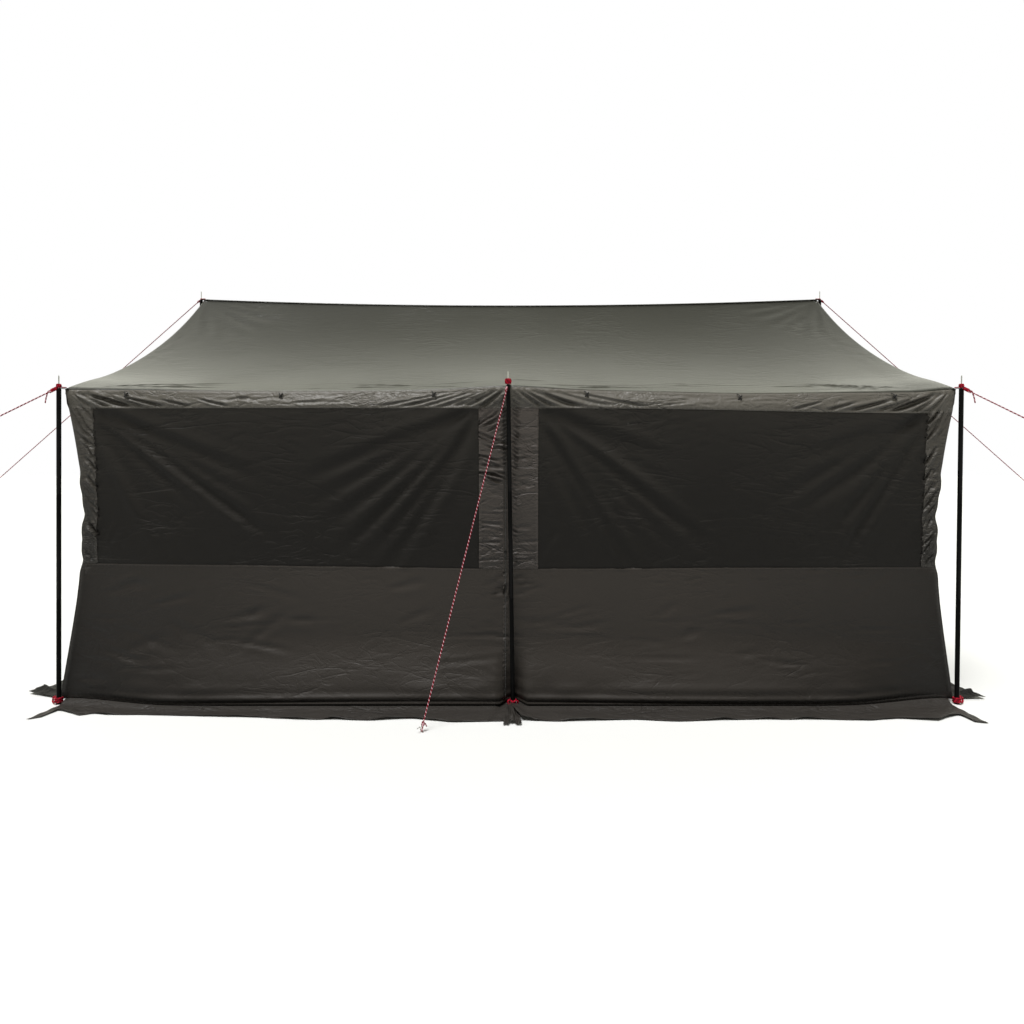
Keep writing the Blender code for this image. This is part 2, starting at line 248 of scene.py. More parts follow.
def creases(tree, flat, scale, reach):
    """Sharp creases where a stretched noise crosses its middle value, fading in and out in patches."""
    stretched = add(tree, "Mapping", {"Vector": flat, "Scale": scale})
    level = add(tree, "TexNoise", {"Vector": stretched, "Scale": 1.0, "Detail": 3.0, "Distortion": 0.7})
    off_middle = add(tree, "Math", (level, 0.5), operation="SUBTRACT")
    distance = add(tree, "Math", (off_middle,), operation="ABSOLUTE")
    groove = add(tree, "MapRange", (distance, 0.0, reach, 1.0, 0.0))
    spots = add(tree, "TexNoise", {"Vector": flat, "Scale": 2.3, "Detail": 1.0})
    patch = add(tree, "MapRange", (spots, 0.35, 0.62))
    sharp = add(tree, "Math", (groove, 1.6), operation="POWER")
    return add(tree, "Math", (sharp, patch), operation="MULTIPLY")


def shaded_by_facing(tree, bump, colour, tone, strength):
    """The colour, moved by its tone, paled as painted light on what faces up and left dark as painted shade
    on what faces down.
    """
    upward = add(tree, "SeparateXYZ", (bump,), 2)
    share = add(tree, "Math", (upward, strength, tone), operation="MULTIPLY_ADD")
    return tinted(tree, colour, 0.35, 1.65, add(tree, "Clamp", (share,)))


def sewn_edges(tree, flat):
    """The stitches, the folded hem and the puckers beside the sewn edges."""
    hem = add(tree, "UVMap", uv_map="hem")
    run, inside = add(tree, "SeparateXYZ", (hem,)).node.outputs[:2]
    rows = [add(tree, "Math", (inside, row, THREAD_HALF_WIDTH), operation="COMPARE") for row in STITCH_ROWS]
    either = add(tree, "Math", rows, operation="ADD")
    stitch = add(tree, "Math", (run, STITCH_PITCH), operation="DIVIDE")
    along_stitch = add(tree, "Math", (stitch,), operation="FRACT")
    dash = add(tree, "Math", (along_stitch, STITCH_SHARE), operation="LESS_THAN")
    stitches = add(tree, "Math", (either, dash), operation="MULTIPLY")
    folded = add(tree, "Math", (inside, HEM_WIDTH), operation="LESS_THAN")
    falloff = add(tree, "Math", (inside, -45.0), operation="MULTIPLY")
    near_hem = add(tree, "Math", (falloff,), operation="EXPONENT")
    turn = add(tree, "Math", (run, math.tau / PUCKER_PITCH), operation="MULTIPLY")
    wave = add(tree, "Math", (turn,), operation="SINE")
    patchy = add(tree, "TexNoise", {"Vector": flat, "Scale": 9.0, "Detail": 2.0})
    kept = add(tree, "Math", (wave, near_hem), operation="MULTIPLY")
    puckers = add(tree, "Math", (kept, patchy), operation="MULTIPLY")
    return stitches, folded, puckers


def woven(tree, across, along):
    """The crossing threads of a plain weave."""
    threads = []
    for axis in (across, along):
        turn = add(tree, "Math", (axis, math.tau / WEAVE_PITCH), operation="MULTIPLY")
        threads.append(add(tree, "Math", (turn,), operation="SINE"))
    return add(tree, "Math", threads, operation="MULTIPLY")


def highlighted_at_eave(tree, tone, across, along, start, end, amount):
    """The tone, with a painted highlight at the turn of the eave: most between two poles, and least at its
    corners.
    """
    near = add(tree, "MapRange", (along, start, end, 0.0, amount))
    off_bay = add(tree, "Math", (across, 1.35), operation="SUBTRACT")
    share = add(tree, "Math", (off_bay, 1 / 0.45), operation="MULTIPLY")
    square = add(tree, "Math", (share, share), operation="MULTIPLY")
    falling = add(tree, "Math", (square, -1.0), operation="MULTIPLY")
    bay = add(tree, "Math", (falling,), operation="EXPONENT")
    corner = add(tree, "MapRange", (across, 1.6, 2.1, 0.0, 0.8))
    spread = add(tree, "Math", (bay, corner), operation="SUBTRACT")
    return add(tree, "Math", (near, spread, tone), operation="MULTIPLY_ADD")


def painted_light_tone(tree, tone, across, along, falloff, sides, eave_highlight):
    """The tone with painted light and shade: lighter or darker by the height up the cloth, darker towards the
    two ends of the tent (lighter where sides is below zero), and, when given, a painted highlight at the
    eave.
    """
    # Painted light and shade by the height up the cloth.
    height_shade = add(tree, "MapRange", (along, *falloff))
    tone = add(tree, "Math", (tone, height_shade), operation="ADD")
    # Painted shade towards the two ends of the tent, or painted light where sides is below zero.
    from_middle = add(tree, "Math", (across,), operation="ABSOLUTE")
    at_ends = add(tree, "MapRange", (from_middle, 0.9, 2.3, 0.0, -sides))
    tone = add(tree, "Math", (tone, at_ends), operation="ADD")
    if eave_highlight:
        tone = highlighted_at_eave(tree, tone, from_middle, along, *eave_highlight)
    return tone


def coated_cloth(name, colour, roughness, gloss, coat, crinkle, facing_shade, falloff, sides=0.0, eave_highlight=None):
    """Coated woven polyester: a fine weave, soft crinkles, a satin sheen at low angles, and sewn hems; its
    colour carries painted light and shade.
    """
    material, tree, surface = surface_of(name)
    flat = add(tree, "UVMap", uv_map="weave")
    across, along = add(tree, "SeparateXYZ", (flat,)).node.outputs[:2]
    weave = woven(tree, across, along)
    stitches, folded, puckers = sewn_edges(tree, flat)
    wide = add(tree, "TexNoise", {"Vector": flat, "Scale": 1.6, "Detail": 3.0, "Distortion": 0.6})
    soft = add(tree, "TexNoise", {"Vector": flat, "Scale": 16.0, "Detail": 5.0, "Distortion": 1.4})
    fine = add(tree, "TexNoise", {"Vector": flat, "Scale": 90.0, "Detail": 4.0, "Distortion": 0.4})
    height = add(tree, "Math", (soft, 0.003 * crinkle), operation="MULTIPLY")
    parts = [(creases(tree, flat, scale, 0.07), -depth * crinkle) for scale, depth in CLOTH_CREASES]
    parts += [(fine, 0.0004 * crinkle), (weave, 0.00004), (puckers, 0.0011)]
    parts += [(folded, 0.0007), (stitches, -0.0004)]
    for part, size in parts:
        height = add(tree, "Math", (part, size, height), operation="MULTIPLY_ADD")
    bump = add(tree, "Bump", {"Height": height, "Distance": 1.0, "Strength": 1.0})
    tone = add(tree, "Math", (wide, 0.12), operation="MULTIPLY")
    tone = add(tree, "Math", (fine, 0.05, tone), operation="MULTIPLY_ADD")
    tone = add(tree, "Math", (tone, 0.415), operation="ADD")
    # The weave's crests are painted a little lighter: a small painted highlight.
    tone = add(tree, "Math", (weave, 0.02, tone), operation="MULTIPLY_ADD")
    # Painted light and shade: by height, towards the ends and at the eave, then by which way the cloth faces.
    tone = painted_light_tone(tree, tone, across, along, falloff, sides, eave_highlight)
    body = shaded_by_facing(tree, bump, colour, tone, facing_shade)
    thread = [min(channel * 1.5 + 0.01, 1.0) for channel in colour[:3]] + [1.0]
    sewn = add(tree, "Mix", {0: stitches, 6: body, 7: thread}, 2, data_type="RGBA")
    rough = add(tree, "Math", (wide, 0.12, roughness - 0.06), operation="MULTIPLY_ADD")
    fill(tree, surface, {"Base Color": sewn, "Roughness": rough, "Normal": bump, "IOR": 1.5})
    fill(tree, surface, {"Specular IOR Level": gloss, "Coat Weight": coat, "Coat Roughness": 0.3})
    return material


def roof_taffeta(name, colours):
    """Thin taffeta with a polyurethane coating: grey-green, with a strong satin sheen seen along it. Painted
    light makes it lighter at the eave and a little darker up the slope and towards the two ends, with a
    painted highlight along the eave.
    """
    return coated_cloth(
        name, colours.roof, roughness=0.3, gloss=0.5, coat=0.5, crinkle=0.24, facing_shade=0.0,
        falloff=(0.0, 0.7, 0.22, -0.06), sides=0.2, eave_highlight=(0.4, 0.05, 0.4),
    )


def wall_taffeta(name, colours):
    """The roof's taffeta seen nearly square on, so its colour shows more than its sheen. Painted light makes
    it lighter towards the top and darker towards the seam below, and painted shade darkens what faces down.
    """
    return coated_cloth(
        name, colours.wall, roughness=0.45, gloss=0.3, coat=0.0, crinkle=1.4, facing_shade=1.1,
        falloff=(SEAM_Z, WINDOW_TOP_Z, -0.45, 0.45),
    )


def corner_taffeta(name, colours):
    """The wall's taffeta at the corners, with painted light and shade: much darker towards the seam below and
    lighter towards the top, and dark on what faces down.
    """
    return coated_cloth(
        name, colours.corner, roughness=0.45, gloss=0.3, coat=0.0, crinkle=1.6, facing_shade=1.2,
        falloff=(SEAM_Z, WINDOW_TOP_Z, -0.9, 0.6),
    )


def eave_taffeta(name, colours):
    """The turned-over edge of the roof, with painted light: lighter towards its top and towards the two ends,
    a painted highlight where it turns over the eave, and painted shade on what faces down.
    """
    return coated_cloth(
        name, colours.band, roughness=0.42, gloss=0.35, coat=0.0, crinkle=1.2, facing_shade=0.9,
        falloff=(WINDOW_TOP_Z, EAVE_Z, -0.16, 0.3), sides=-0.25, eave_highlight=(EAVE_Z - 0.026, EAVE_Z, 0.4),
    )


def lower_oxford(name, colours):
    """Heavier coated polyester of the splash zone, darker and duller, with painted shade: darker towards the
    ground and towards the two ends, and on what faces down.
    """
    return coated_cloth(
        name, colours.lower, roughness=0.5, gloss=0.25, coat=0.0, crinkle=0.32, facing_shade=0.8,
        falloff=(0.05, 0.6, -0.3, 0.03), sides=0.44,
    )


def skirt_cloth(name, colours):
    """Coated polyester that lies limp on the ground, with its crinkles pressed in, darkened as painted shade,
    most next to the wall.
    """
    return coated_cloth(
        name, colours.skirt, roughness=0.5, gloss=0.25, coat=0.0, crinkle=1.6, facing_shade=0.4,
        falloff=(0.0, 0.2, -0.2, -0.1),
    )


def shaded_skirt_cloth(name, colours):
    """The skirts' cloth at the two ends, in a darker colour that is painted shade, and darkened most next to
    the wall.
    """
    return coated_cloth(
        name, colours.end_skirt, roughness=0.6, gloss=0.15, coat=0.0, crinkle=1.6, facing_shade=0.4,
        falloff=(0.0, 0.2, -0.2, -0.1),
    )


# Insect net has holes of 1.2 mm, drawn as 4 mm so that close views show them.
NET_PITCH = 0.004


def window_net(name, colours):
    """Knitted polyester net: a fine honeycomb of threads, matt, with broad soft folds. The dark between its
    threads is painted shade for the dark inside of the tent seen through the holes, and painted light makes
    it lighter towards the top and on what faces up.
    """
    material, tree, surface = surface_of(name)
    flat = add(tree, "UVMap", uv_map="weave")
    settings = {"feature": "DISTANCE_TO_EDGE", "voronoi_dimensions": "2D"}
    holes = {"Vector": flat, "Scale": 1 / NET_PITCH, "Randomness": 0.15}
    cells = add(tree, "TexVoronoi", holes, "Distance", **settings)
    thread = add(tree, "Math", (cells, 0.12), operation="LESS_THAN")
    wide = add(tree, "TexNoise", {"Vector": flat, "Scale": 2.2, "Detail": 3.0, "Distortion": 0.8})
    soft = add(tree, "TexNoise", {"Vector": flat, "Scale": 12.0, "Detail": 4.0, "Distortion": 1.0})
    height = add(tree, "Math", (soft, 0.0016), operation="MULTIPLY")
    height = add(tree, "Math", (thread, 0.0002, height), operation="MULTIPLY_ADD")
    for scale, depth in NET_CREASES:
        crease = creases(tree, flat, scale, 0.06)
        height = add(tree, "Math", (crease, -depth, height), operation="MULTIPLY_ADD")
    bump = add(tree, "Bump", {"Height": height, "Distance": 1.0, "Strength": 1.0})
    # Painted light: lighter towards the top of the window and darker towards its foot.
    painted_light_from_above = add(tree, "MapRange", (add(tree, "SeparateXYZ", (flat,), 1), 0.75, 1.5, -0.6, 1.0))
    tone = add(tree, "Math", (wide, 0.16, painted_light_from_above), operation="MULTIPLY_ADD")
    body = shaded_by_facing(tree, bump, colours.net, tone, 2.5)
    lighter = [channel * 1.35 for channel in colours.net[:3]] + [1.0]
    shown = add(tree, "Math", (thread, 0.6), operation="MULTIPLY")
    knitted = add(tree, "Mix", {0: shown, 6: body, 7: lighter}, 2, data_type="RGBA")
    fill(tree, surface, {"Base Color": knitted, "Normal": bump})
    fill(tree, surface, {"Roughness": 0.55, "IOR": 1.5, "Specular IOR Level": 0.16})
    return material


# The marker yarn turns once in 8 mm, drawn as 18 mm so that it shows from afar.
MARKER_PITCH = 0.018
MARKER_SHARE = 0.28
PLAIT_PITCH = 0.005
PLAITS_ROUND = 4.0


def braided_cord(name, colour, fleck):
    """Braided polypropylene cord: a cover of diagonal yarns with a pale marker yarn winding through it."""
    material, tree, surface = surface_of(name)
    flat = add(tree, "UVMap", uv_map="weave")
    along, round_it = add(tree, "SeparateXYZ", (flat,)).node.outputs[:2]
    turns = add(tree, "Math", (along, MARKER_PITCH), operation="DIVIDE")
    wound = add(tree, "Math", (turns, round_it), operation="ADD")
    within = add(tree, "Math", (wound,), operation="FRACT")
    marker = add(tree, "Math", (within, MARKER_SHARE), operation="LESS_THAN")
    plaits = []
    for hand in (1.0, -1.0):
        climb = add(tree, "Math", (along, PLAIT_PITCH), operation="DIVIDE")
        wound = add(tree, "Math", (round_it, PLAITS_ROUND * hand, climb), operation="MULTIPLY_ADD")
        turn = add(tree, "Math", (wound, math.tau), operation="MULTIPLY")
        plaits.append(add(tree, "Math", (turn,), operation="SINE"))
    braid = add(tree, "Math", plaits, operation="MULTIPLY")
    height = add(tree, "Math", (braid, 0.0003), operation="MULTIPLY")
    bump = add(tree, "Bump", {"Height": height, "Distance": 1.0})
    # The grooves between the plaits are painted darker and their crests lighter: painted shade and highlight.
    share = add(tree, "Math", (braid, 0.5, 0.5), operation="MULTIPLY_ADD")
    body = tinted(tree, colour, 0.7, 1.2, share)
    plaited = add(tree, "Mix", {0: marker, 6: body, 7: fleck}, 2, data_type="RGBA")
    fill(tree, surface, {"Base Color": plaited, "Normal": bump, "Roughness": 0.6, "Specular IOR Level": 0.15})
    return material


def guyline_cord(name, colours):
    """Braided cord with a pale marker yarn, which makes it easy to see."""
    return braided_cord(name, colours.cord, colours.fleck)


def knotted_cord(name, colours):
    """The same cord pressed into knots, where little of the pale yarn shows."""
    return braided_cord(name, colours.knot, colours.knot_fleck)


def webbing(name, colours):
    """Woven polypropylene webbing: a herringbone of thick yarns, matt."""
    material, tree, surface = surface_of(name)
    place = add(tree, "TexCoord", out="Object")
    x, y = add(tree, "SeparateXYZ", (place,)).node.outputs[:2]
    slant = add(tree, "Math", (x, y), operation="ADD")
    turn = add(tree, "Math", (slant, math.tau / 0.0022), operation="MULTIPLY")
    ribs = add(tree, "Math", (turn,), operation="SINE")
    height = add(tree, "Math", (ribs, 0.0002), operation="MULTIPLY")
    bump = add(tree, "Bump", {"Height": height, "Distance": 1.0})
    # The grooves between the ribs are painted darker and the ribs lighter: painted shade and highlight.
    share = add(tree, "Math", (ribs, 0.5, 0.5), operation="MULTIPLY_ADD")
    body = tinted(tree, colours.strap, 0.7, 1.4, share)
    fill(tree, surface, {"Base Color": body, "Normal": bump, "Roughness": 0.7})
    return material


def hard_finish(name, colour, roughness, metallic, gloss, grain, depth, wear):
    """A hard surface with a fine grain, worn a little paler in patches."""
    material, tree, surface = surface_of(name)
    place = add(tree, "TexCoord", out="Object")
    speckle = add(tree, "TexNoise", {"Vector": place, "Scale": grain, "Detail": 3.0})
    patches = add(tree, "TexNoise", {"Vector": place, "Scale": 14.0, "Detail": 4.0, "Distortion": 0.5})
    height = add(tree, "Math", (speckle, depth), operation="MULTIPLY")
    bump = add(tree, "Bump", {"Height": height, "Distance": 1.0})
    body = tinted(tree, colour, 1 - wear, 1 + wear, patches)
    rough = add(tree, "Math", (patches, 0.16, roughness - 0.08), operation="MULTIPLY_ADD")
    fill(tree, surface, {"Base Color": body, "Roughness": rough, "Normal": bump})
    fill(tree, surface, {"Metallic": metallic, "Specular IOR Level": gloss})
    return material


def coated_tube(name, colours):
    """Steel tube under black powder coat: an even satin with a slight orange peel."""
    return hard_finish(name, colours.pole, 0.42, 0.0, 0.1, grain=700.0, depth=0.00012, wear=0.25)


def galvanised_steel(name, colours):
    """Galvanised steel wire: bright grey with dull patches of zinc."""
    return hard_finish(name, colours.steel, 0.35, 1.0, 0.5, grain=500.0, depth=0.0001, wear=0.15)


def zip_coil(name, colours):
    """Coiled polyester zip teeth: grey and glossy."""
    return hard_finish(name, colours.coil, 0.4, 0.0, 0.5, grain=900.0, depth=0.00004, wear=0.15)


def moulded_nylon(name, colours):
    """Moulded nylon: black, semi-matt."""
    return hard_finish(name, colours.strap, 0.5, 0.0, 0.3, grain=900.0, depth=0.00008, wear=0.15)


# Each finish's name, and what makes it.
FINISHES = {
    "roof": ("PU-coated polyester taffeta", roof_taffeta),
    "wall": ("PU-coated polyester taffeta, wall", wall_taffeta),
    "strip": ("PU-coated polyester taffeta, corners", corner_taffeta),
    "band": ("PU-coated polyester taffeta, eave", eave_taffeta),
    "lower": ("PU-coated polyester oxford", lower_oxford),
    "skirt": ("PU-coated polyester skirt cloth", skirt_cloth),
    "end_skirt": ("PU-coated polyester skirt cloth, uncoated side", shaded_skirt_cloth),
    "net": ("knitted polyester net", window_net),
    "cord": ("braided polypropylene cord", guyline_cord),
    "knot": ("braided polypropylene cord, plain", knotted_cord),
    "strap": ("polypropylene webbing", webbing),
    "tube": ("powder-coated steel tube", coated_tube),
    "steel": ("galvanised steel", galvanised_steel),
    "coil": ("polyester zip coil", zip_coil),
    "nylon": ("moulded nylon", moulded_nylon),
}


def finish_of(kind):
    """The material of a kind of piece, made once."""
    name, make = FINISHES[kind]
    return bpy.data.materials.get(name) or make(name, bpy.context.scene.tent_colours)


def ease(low, high, value):
    """0 before low, 1 past high, and a smooth climb between them."""
    share = np.clip((value - low) / (high - low), 0.0, 1.0)
    return share * share * (3 - 2 * share)


def hump(value, centre, width):
    """1 at the centre, falling smoothly to nearly nothing two widths away."""
    return np.exp(-(((value - centre) / width) ** 2))


def taut(base, eave, z):
    """Half the tent's size at a height, from its size at the ground and at the eave, less the waist."""
    share = np.clip(z / EAVE_Z, 0, 1)
    return base + (eave - base) * share - WAIST * np.sin(math.pi * share**WAIST_SKEW)


def half_length(z):
    return taut(BASE_HALF_LENGTH, EAVE_HALF_LENGTH, z)


def half_width(z):
    return taut(BASE_HALF_WIDTH, EAVE_HALF_WIDTH, z)


def wall_reach(kind, z):
    """How far a long or an end wall reaches from its middle to its corner."""
    return half_length(z) if kind == "long" else half_width(z)


def wall_stand(kind, z):
    """How far a long or an end wall stands from the middle of the tent."""
    return half_width(z) if kind == "long" else half_length(z)


def roof_end_x(share):
    straight = EAVE_HALF_LENGTH + (RIDGE_HALF_LENGTH - EAVE_HALF_LENGTH) * share
    return straight - ROOF_END_WAIST * 4 * share * (1 - share)


def between_poles(along):
    """0 at each pole of a long side and 1 halfway between two, from the share of the way to the corner."""
    return np.sin(math.pi * np.clip(np.abs(along), 0, 1)) ** 2


def eave_rise(x):
    """How far the middle pole lifts the eave, less its dip between the poles and its drop on the right."""
    lift = MIDDLE_RISE * np.exp(-((np.abs(x) / 0.32) ** 1.5))
    dip = EAVE_DIP * between_poles(x / EAVE_HALF_LENGTH)
    drop = RIGHT_DROP * ease(0.5, 1.3, x) * (1 - ease(2.1, 2.3, x))
    return lift - dip - drop


def eave_bow(x):
    """How far the roof pulls the eave inwards between the poles."""
    return EAVE_BOW * between_poles(x / EAVE_HALF_LENGTH)


def eave_round(x):
    """How much more the cloth rounds over the eave on both sides of the middle pole."""
    return EAVE_ROUND * hump(np.abs(x), 0.48, 0.3)


def roof_z(along, share):
    """The roof's height, from how far along the eave and how far up the slope a place is."""
    ridge = RIDGE_Z - RIDGE_SAG * (1 - along * along)
    eave = EAVE_Z + eave_rise(along * EAVE_HALF_LENGTH) * np.exp(-share / 0.25)
    eave = eave - BAY_SAG * between_poles(along) * 4 * share * (1 - share)
    fuller = 0.011 * hump(share, 0.09, 0.09) * along**4
    return eave + (ridge - EAVE_Z) * share - ROOF_SAG * 4 * share * (1 - share) + fuller


def wrinkles(lines, x, z):
    """How far cloth stands out at each place: a valley along each line, with a low ridge on each side."""
    total = np.zeros_like(x)
    for x0, z0, x1, z1, depth, width in lines:
        dx, dz = x1 - x0, z1 - z0
        long = math.hypot(dx, dz)
        t = ((x - x0) * dx + (z - z0) * dz) / long**2
        spread = width * (0.45 + 0.55 * np.clip(t, 0, 1))
        s = ((z - z0) * dx - (x - x0) * dz) / long / spread
        taper = ease(-0.02, 0.3, t) * (1 - ease(0.72, 1.05, t))
        total -= depth * taper * (np.exp(-s * s) - 0.5 * np.exp(-((np.abs(s) - 1.7) ** 2)))
    return total


def scattered(rng, count, box, angles, length, depth, width):
    """Short folds at random inside a box (x0, z0, x1, z1), each turned between two angles in degrees."""
    lines = []
    for _ in range(count):
        x, z = rng.uniform(box[0], box[2]), rng.uniform(box[1], box[3])
        turn = math.radians(rng.uniform(*angles))
        reach = rng.uniform(*length) / 2
        dx, dz = reach * math.cos(turn), reach * math.sin(turn)
        lines.append((x - dx, z - dz, x + dx, z + dz, rng.uniform(*depth), rng.uniform(*width)))
    return lines


def rays(rng, count, anchor, angles, reach, depth, width):
    """Folds that fan out from a place, between two angles in degrees, from reach[0] to about reach[1]."""
    lines = []
    for k in range(count):
        share = (k + rng.uniform(0.2, 0.8)) / count
        turn = math.radians(angles[0] + (angles[1] - angles[0]) * share)
        near, far = reach[0] * rng.uniform(0.7, 1.5), reach[1] * rng.uniform(0.6, 1.0)
        dx, dz = math.cos(turn), math.sin(turn)
        ends = (anchor[0] + near * dx, anchor[1] + near * dz, anchor[0] + far * dx, anchor[1] + far * dz)
        lines.append((*ends, rng.uniform(*depth), rng.uniform(*width)))
    return lines


def all_scattered(rng, rows):
    """The folds of several boxes: each row holds count, box, angles, length, depth and width."""
    return [line for row in rows for line in scattered(rng, *row)]


def all_rays(rng, rows):
    """The folds of several fans: each row holds count, anchor, angles, reach, depth and width."""
    return [line for row in rows for line in rays(rng, *row)]


# Folds that run from a corner of the eave into the band: start and end from the corner, depth and width.
CORNER_FOLDS = (
    (0.020, -0.004, 0.137, -0.093, 0.010, 0.008),
    (0.030, -0.005, 0.222, -0.093, 0.015, 0.010),
    (0.060, -0.010, 0.368, -0.092, 0.024, 0.014),
    (0.210, -0.022, 0.450, -0.091, 0.012, 0.008),
    (0.300, -0.034, 0.540, -0.090, 0.016, 0.010),
    (0.520, -0.045, 0.706, -0.090, 0.012, 0.009),
    (0.700, -0.040, 0.900, -0.090, 0.010, 0.009),
)


def corner_fan(rng, corner, way):
    """Folds of the band that meet at a corner of the eave."""
    lines = []
    for x0, z0, x1, z1, depth, width in CORNER_FOLDS:
        stretch = rng.uniform(0.92, 1.08)
        ends = (corner + way * x0 * stretch, EAVE_Z + z0, corner + way * x1 * stretch, EAVE_Z + z1)
        lines.append((*ends, depth * rng.uniform(0.85, 1.15), width))
    return lines


def pole_fan(rng, count, way):
    """Folds of the band that meet at the top of the middle pole."""
    lines = []
    for k in range(count):
        start = 0.012 + 0.3 * (k / count) ** 1.2
        end = (0.16 + 0.085 * k) * rng.uniform(0.92, 1.08)
        depth = (0.015 - 0.0007 * k) * rng.uniform(0.75, 1.2)
        width = (0.009 + 0.0004 * k) * rng.uniform(0.8, 1.2)
        lines.append((way * start, EAVE_Z - 0.004, way * end, WINDOW_TOP_Z - 0.004, depth, width))
    return lines


def band_lines(rng, way):
    """Folds of the eave band on one side of the middle pole."""
    lines = corner_fan(rng, -way * EAVE_HALF_LENGTH, way)
    lines += pole_fan(rng, 8, way)
    for near, far, low, high, count in ((0.7, 1.6, 0.004, 0.03, 16), (0.3, 1.9, 0.004, 0.05, 10)):
        left, right = sorted((way * near, way * far))
        box = (left, WINDOW_TOP_Z + low, right, WINDOW_TOP_Z + high)
        lines += scattered(rng, count, box, (-50, 50), (0.025, 0.07), (0.0015, 0.003), (0.005, 0.008))
    left, right = sorted((way * 0.8, way * 1.5))
    box = (left, WINDOW_TOP_Z + 0.02, right, EAVE_Z - 0.03)
    return lines + scattered(rng, 10, box, (-10, 10), (0.1, 0.3), (0.002, 0.004), (0.008, 0.014))


def strip_lines(rng, inner, outer, way):
    """Slanting folds of a corner strip, between its two edges."""
    left, right = sorted((way * inner, way * outer))
    box = (left, 0.72, right, 1.5)
    angles = (48, 62) if way == 1 else (118, 132)
    slanting = (30, box, angles, (0.09, 0.2), (0.009, 0.015), (0.007, 0.012))
    small = (22, box, (-30, 210), (0.04, 0.09), (0.003, 0.006), (0.005, 0.009))
    return all_scattered(rng, (slanting, small))


def pole_gathers(rng, way):
    """Short folds down the middle pole, where the zip gathers the cloth."""
    lines = []
    for k in range(18):
        high = EAVE_Z - 0.014 - 0.021 * k + rng.uniform(-0.005, 0.005)
        reach = rng.uniform(0.03, 0.055) * (1 - 0.025 * k)
        ends = (way * 0.01, high, way * (0.012 + reach), high - reach * rng.uniform(0.7, 1.0))
        lines.append((*ends, rng.uniform(0.008, 0.012), 0.0055))
    return lines


# Folds of the centre strip, from its top to the seam.
CENTRE_FOLDS = (
    (8, (-0.15, 1.38, -0.05, 1.5), (18, 42), (0.08, 0.15), (0.006, 0.011), (0.006, 0.010)),
    (18, (-0.15, 1.1, -0.04, 1.4), (-26, -2), (0.08, 0.16), (0.005, 0.010), (0.006, 0.011)),
    (8, (-0.15, 0.72, -0.04, 1.1), (-18, 8), (0.08, 0.15), (0.002, 0.005), (0.008, 0.014)),
    (14, (-0.155, 0.72, -0.145, 1.4), (-30, 30), (0.02, 0.04), (0.003, 0.005), (0.004, 0.007)),
    (34, (0.014, 0.72, 0.03, 1.42), (-55, -15), (0.03, 0.05), (0.004, 0.008), (0.004, 0.007)),
    (8, (0.04, 0.72, 0.12, 1.5), (-8, 8), (0.08, 0.18), (0.0015, 0.003), (0.010, 0.016)),
)
# The crease that the rolled-up wall leaves across the centre strip.
CENTRE_CREASE = (-0.15, 0.738, 0.13, 0.742, 0.004, 0.006)


def window_lines(rng, left, right):
    """Broad folds that hang from a window's upper corners, and long creases across it."""
    top = WINDOW_TOP_Z + 0.03
    hanging = (
        (7, (left - 0.05, top), (-20, -66), (-0.25, 1.3), (0.010, 0.017), (0.03, 0.05)),
        (6, (right + 0.05, top), (-160, -118), (-0.25, 1.2), (0.010, 0.017), (0.03, 0.05)),
    )
    box = (left + 0.2, 0.85, right - 0.2, 1.5)
    across = (
        (10, box, (-30, -12), (0.3, 0.8), (0.002, 0.004), (0.007, 0.012)),
        (12, box, (-8, 14), (0.3, 0.8), (0.002, 0.004), (0.007, 0.012)),
    )
    standing = (
        (3, (left, SEAM_Z), (55, 85), (0.05, 0.3), (0.004, 0.007), (0.015, 0.025)),
        (3, (right, SEAM_Z), (125, 95), (0.05, 0.3), (0.004, 0.007), (0.015, 0.025)),
    )
    return all_rays(rng, hanging) + all_scattered(rng, across) + all_rays(rng, standing)


def lower_lines(rng, reach):
    """Small creases of a lower wall, most of them under its seam and above the ground."""
    return all_scattered(rng, (
        (int(18 * reach), (-reach, 0.6, reach, 0.685), (-50, 50), (0.03, 0.1), (0.002, 0.005), (0.005, 0.01)),
        (int(22 * reach), (-reach, 0.14, reach, 0.42), (-9, 9), (0.15, 0.5), (0.002, 0.005), (0.006, 0.014)),
        (int(14 * reach), (-reach, 0.1, reach, 0.6), (-40, 40), (0.1, 0.4), (0.003, 0.007), (0.014, 0.03)),
    ))


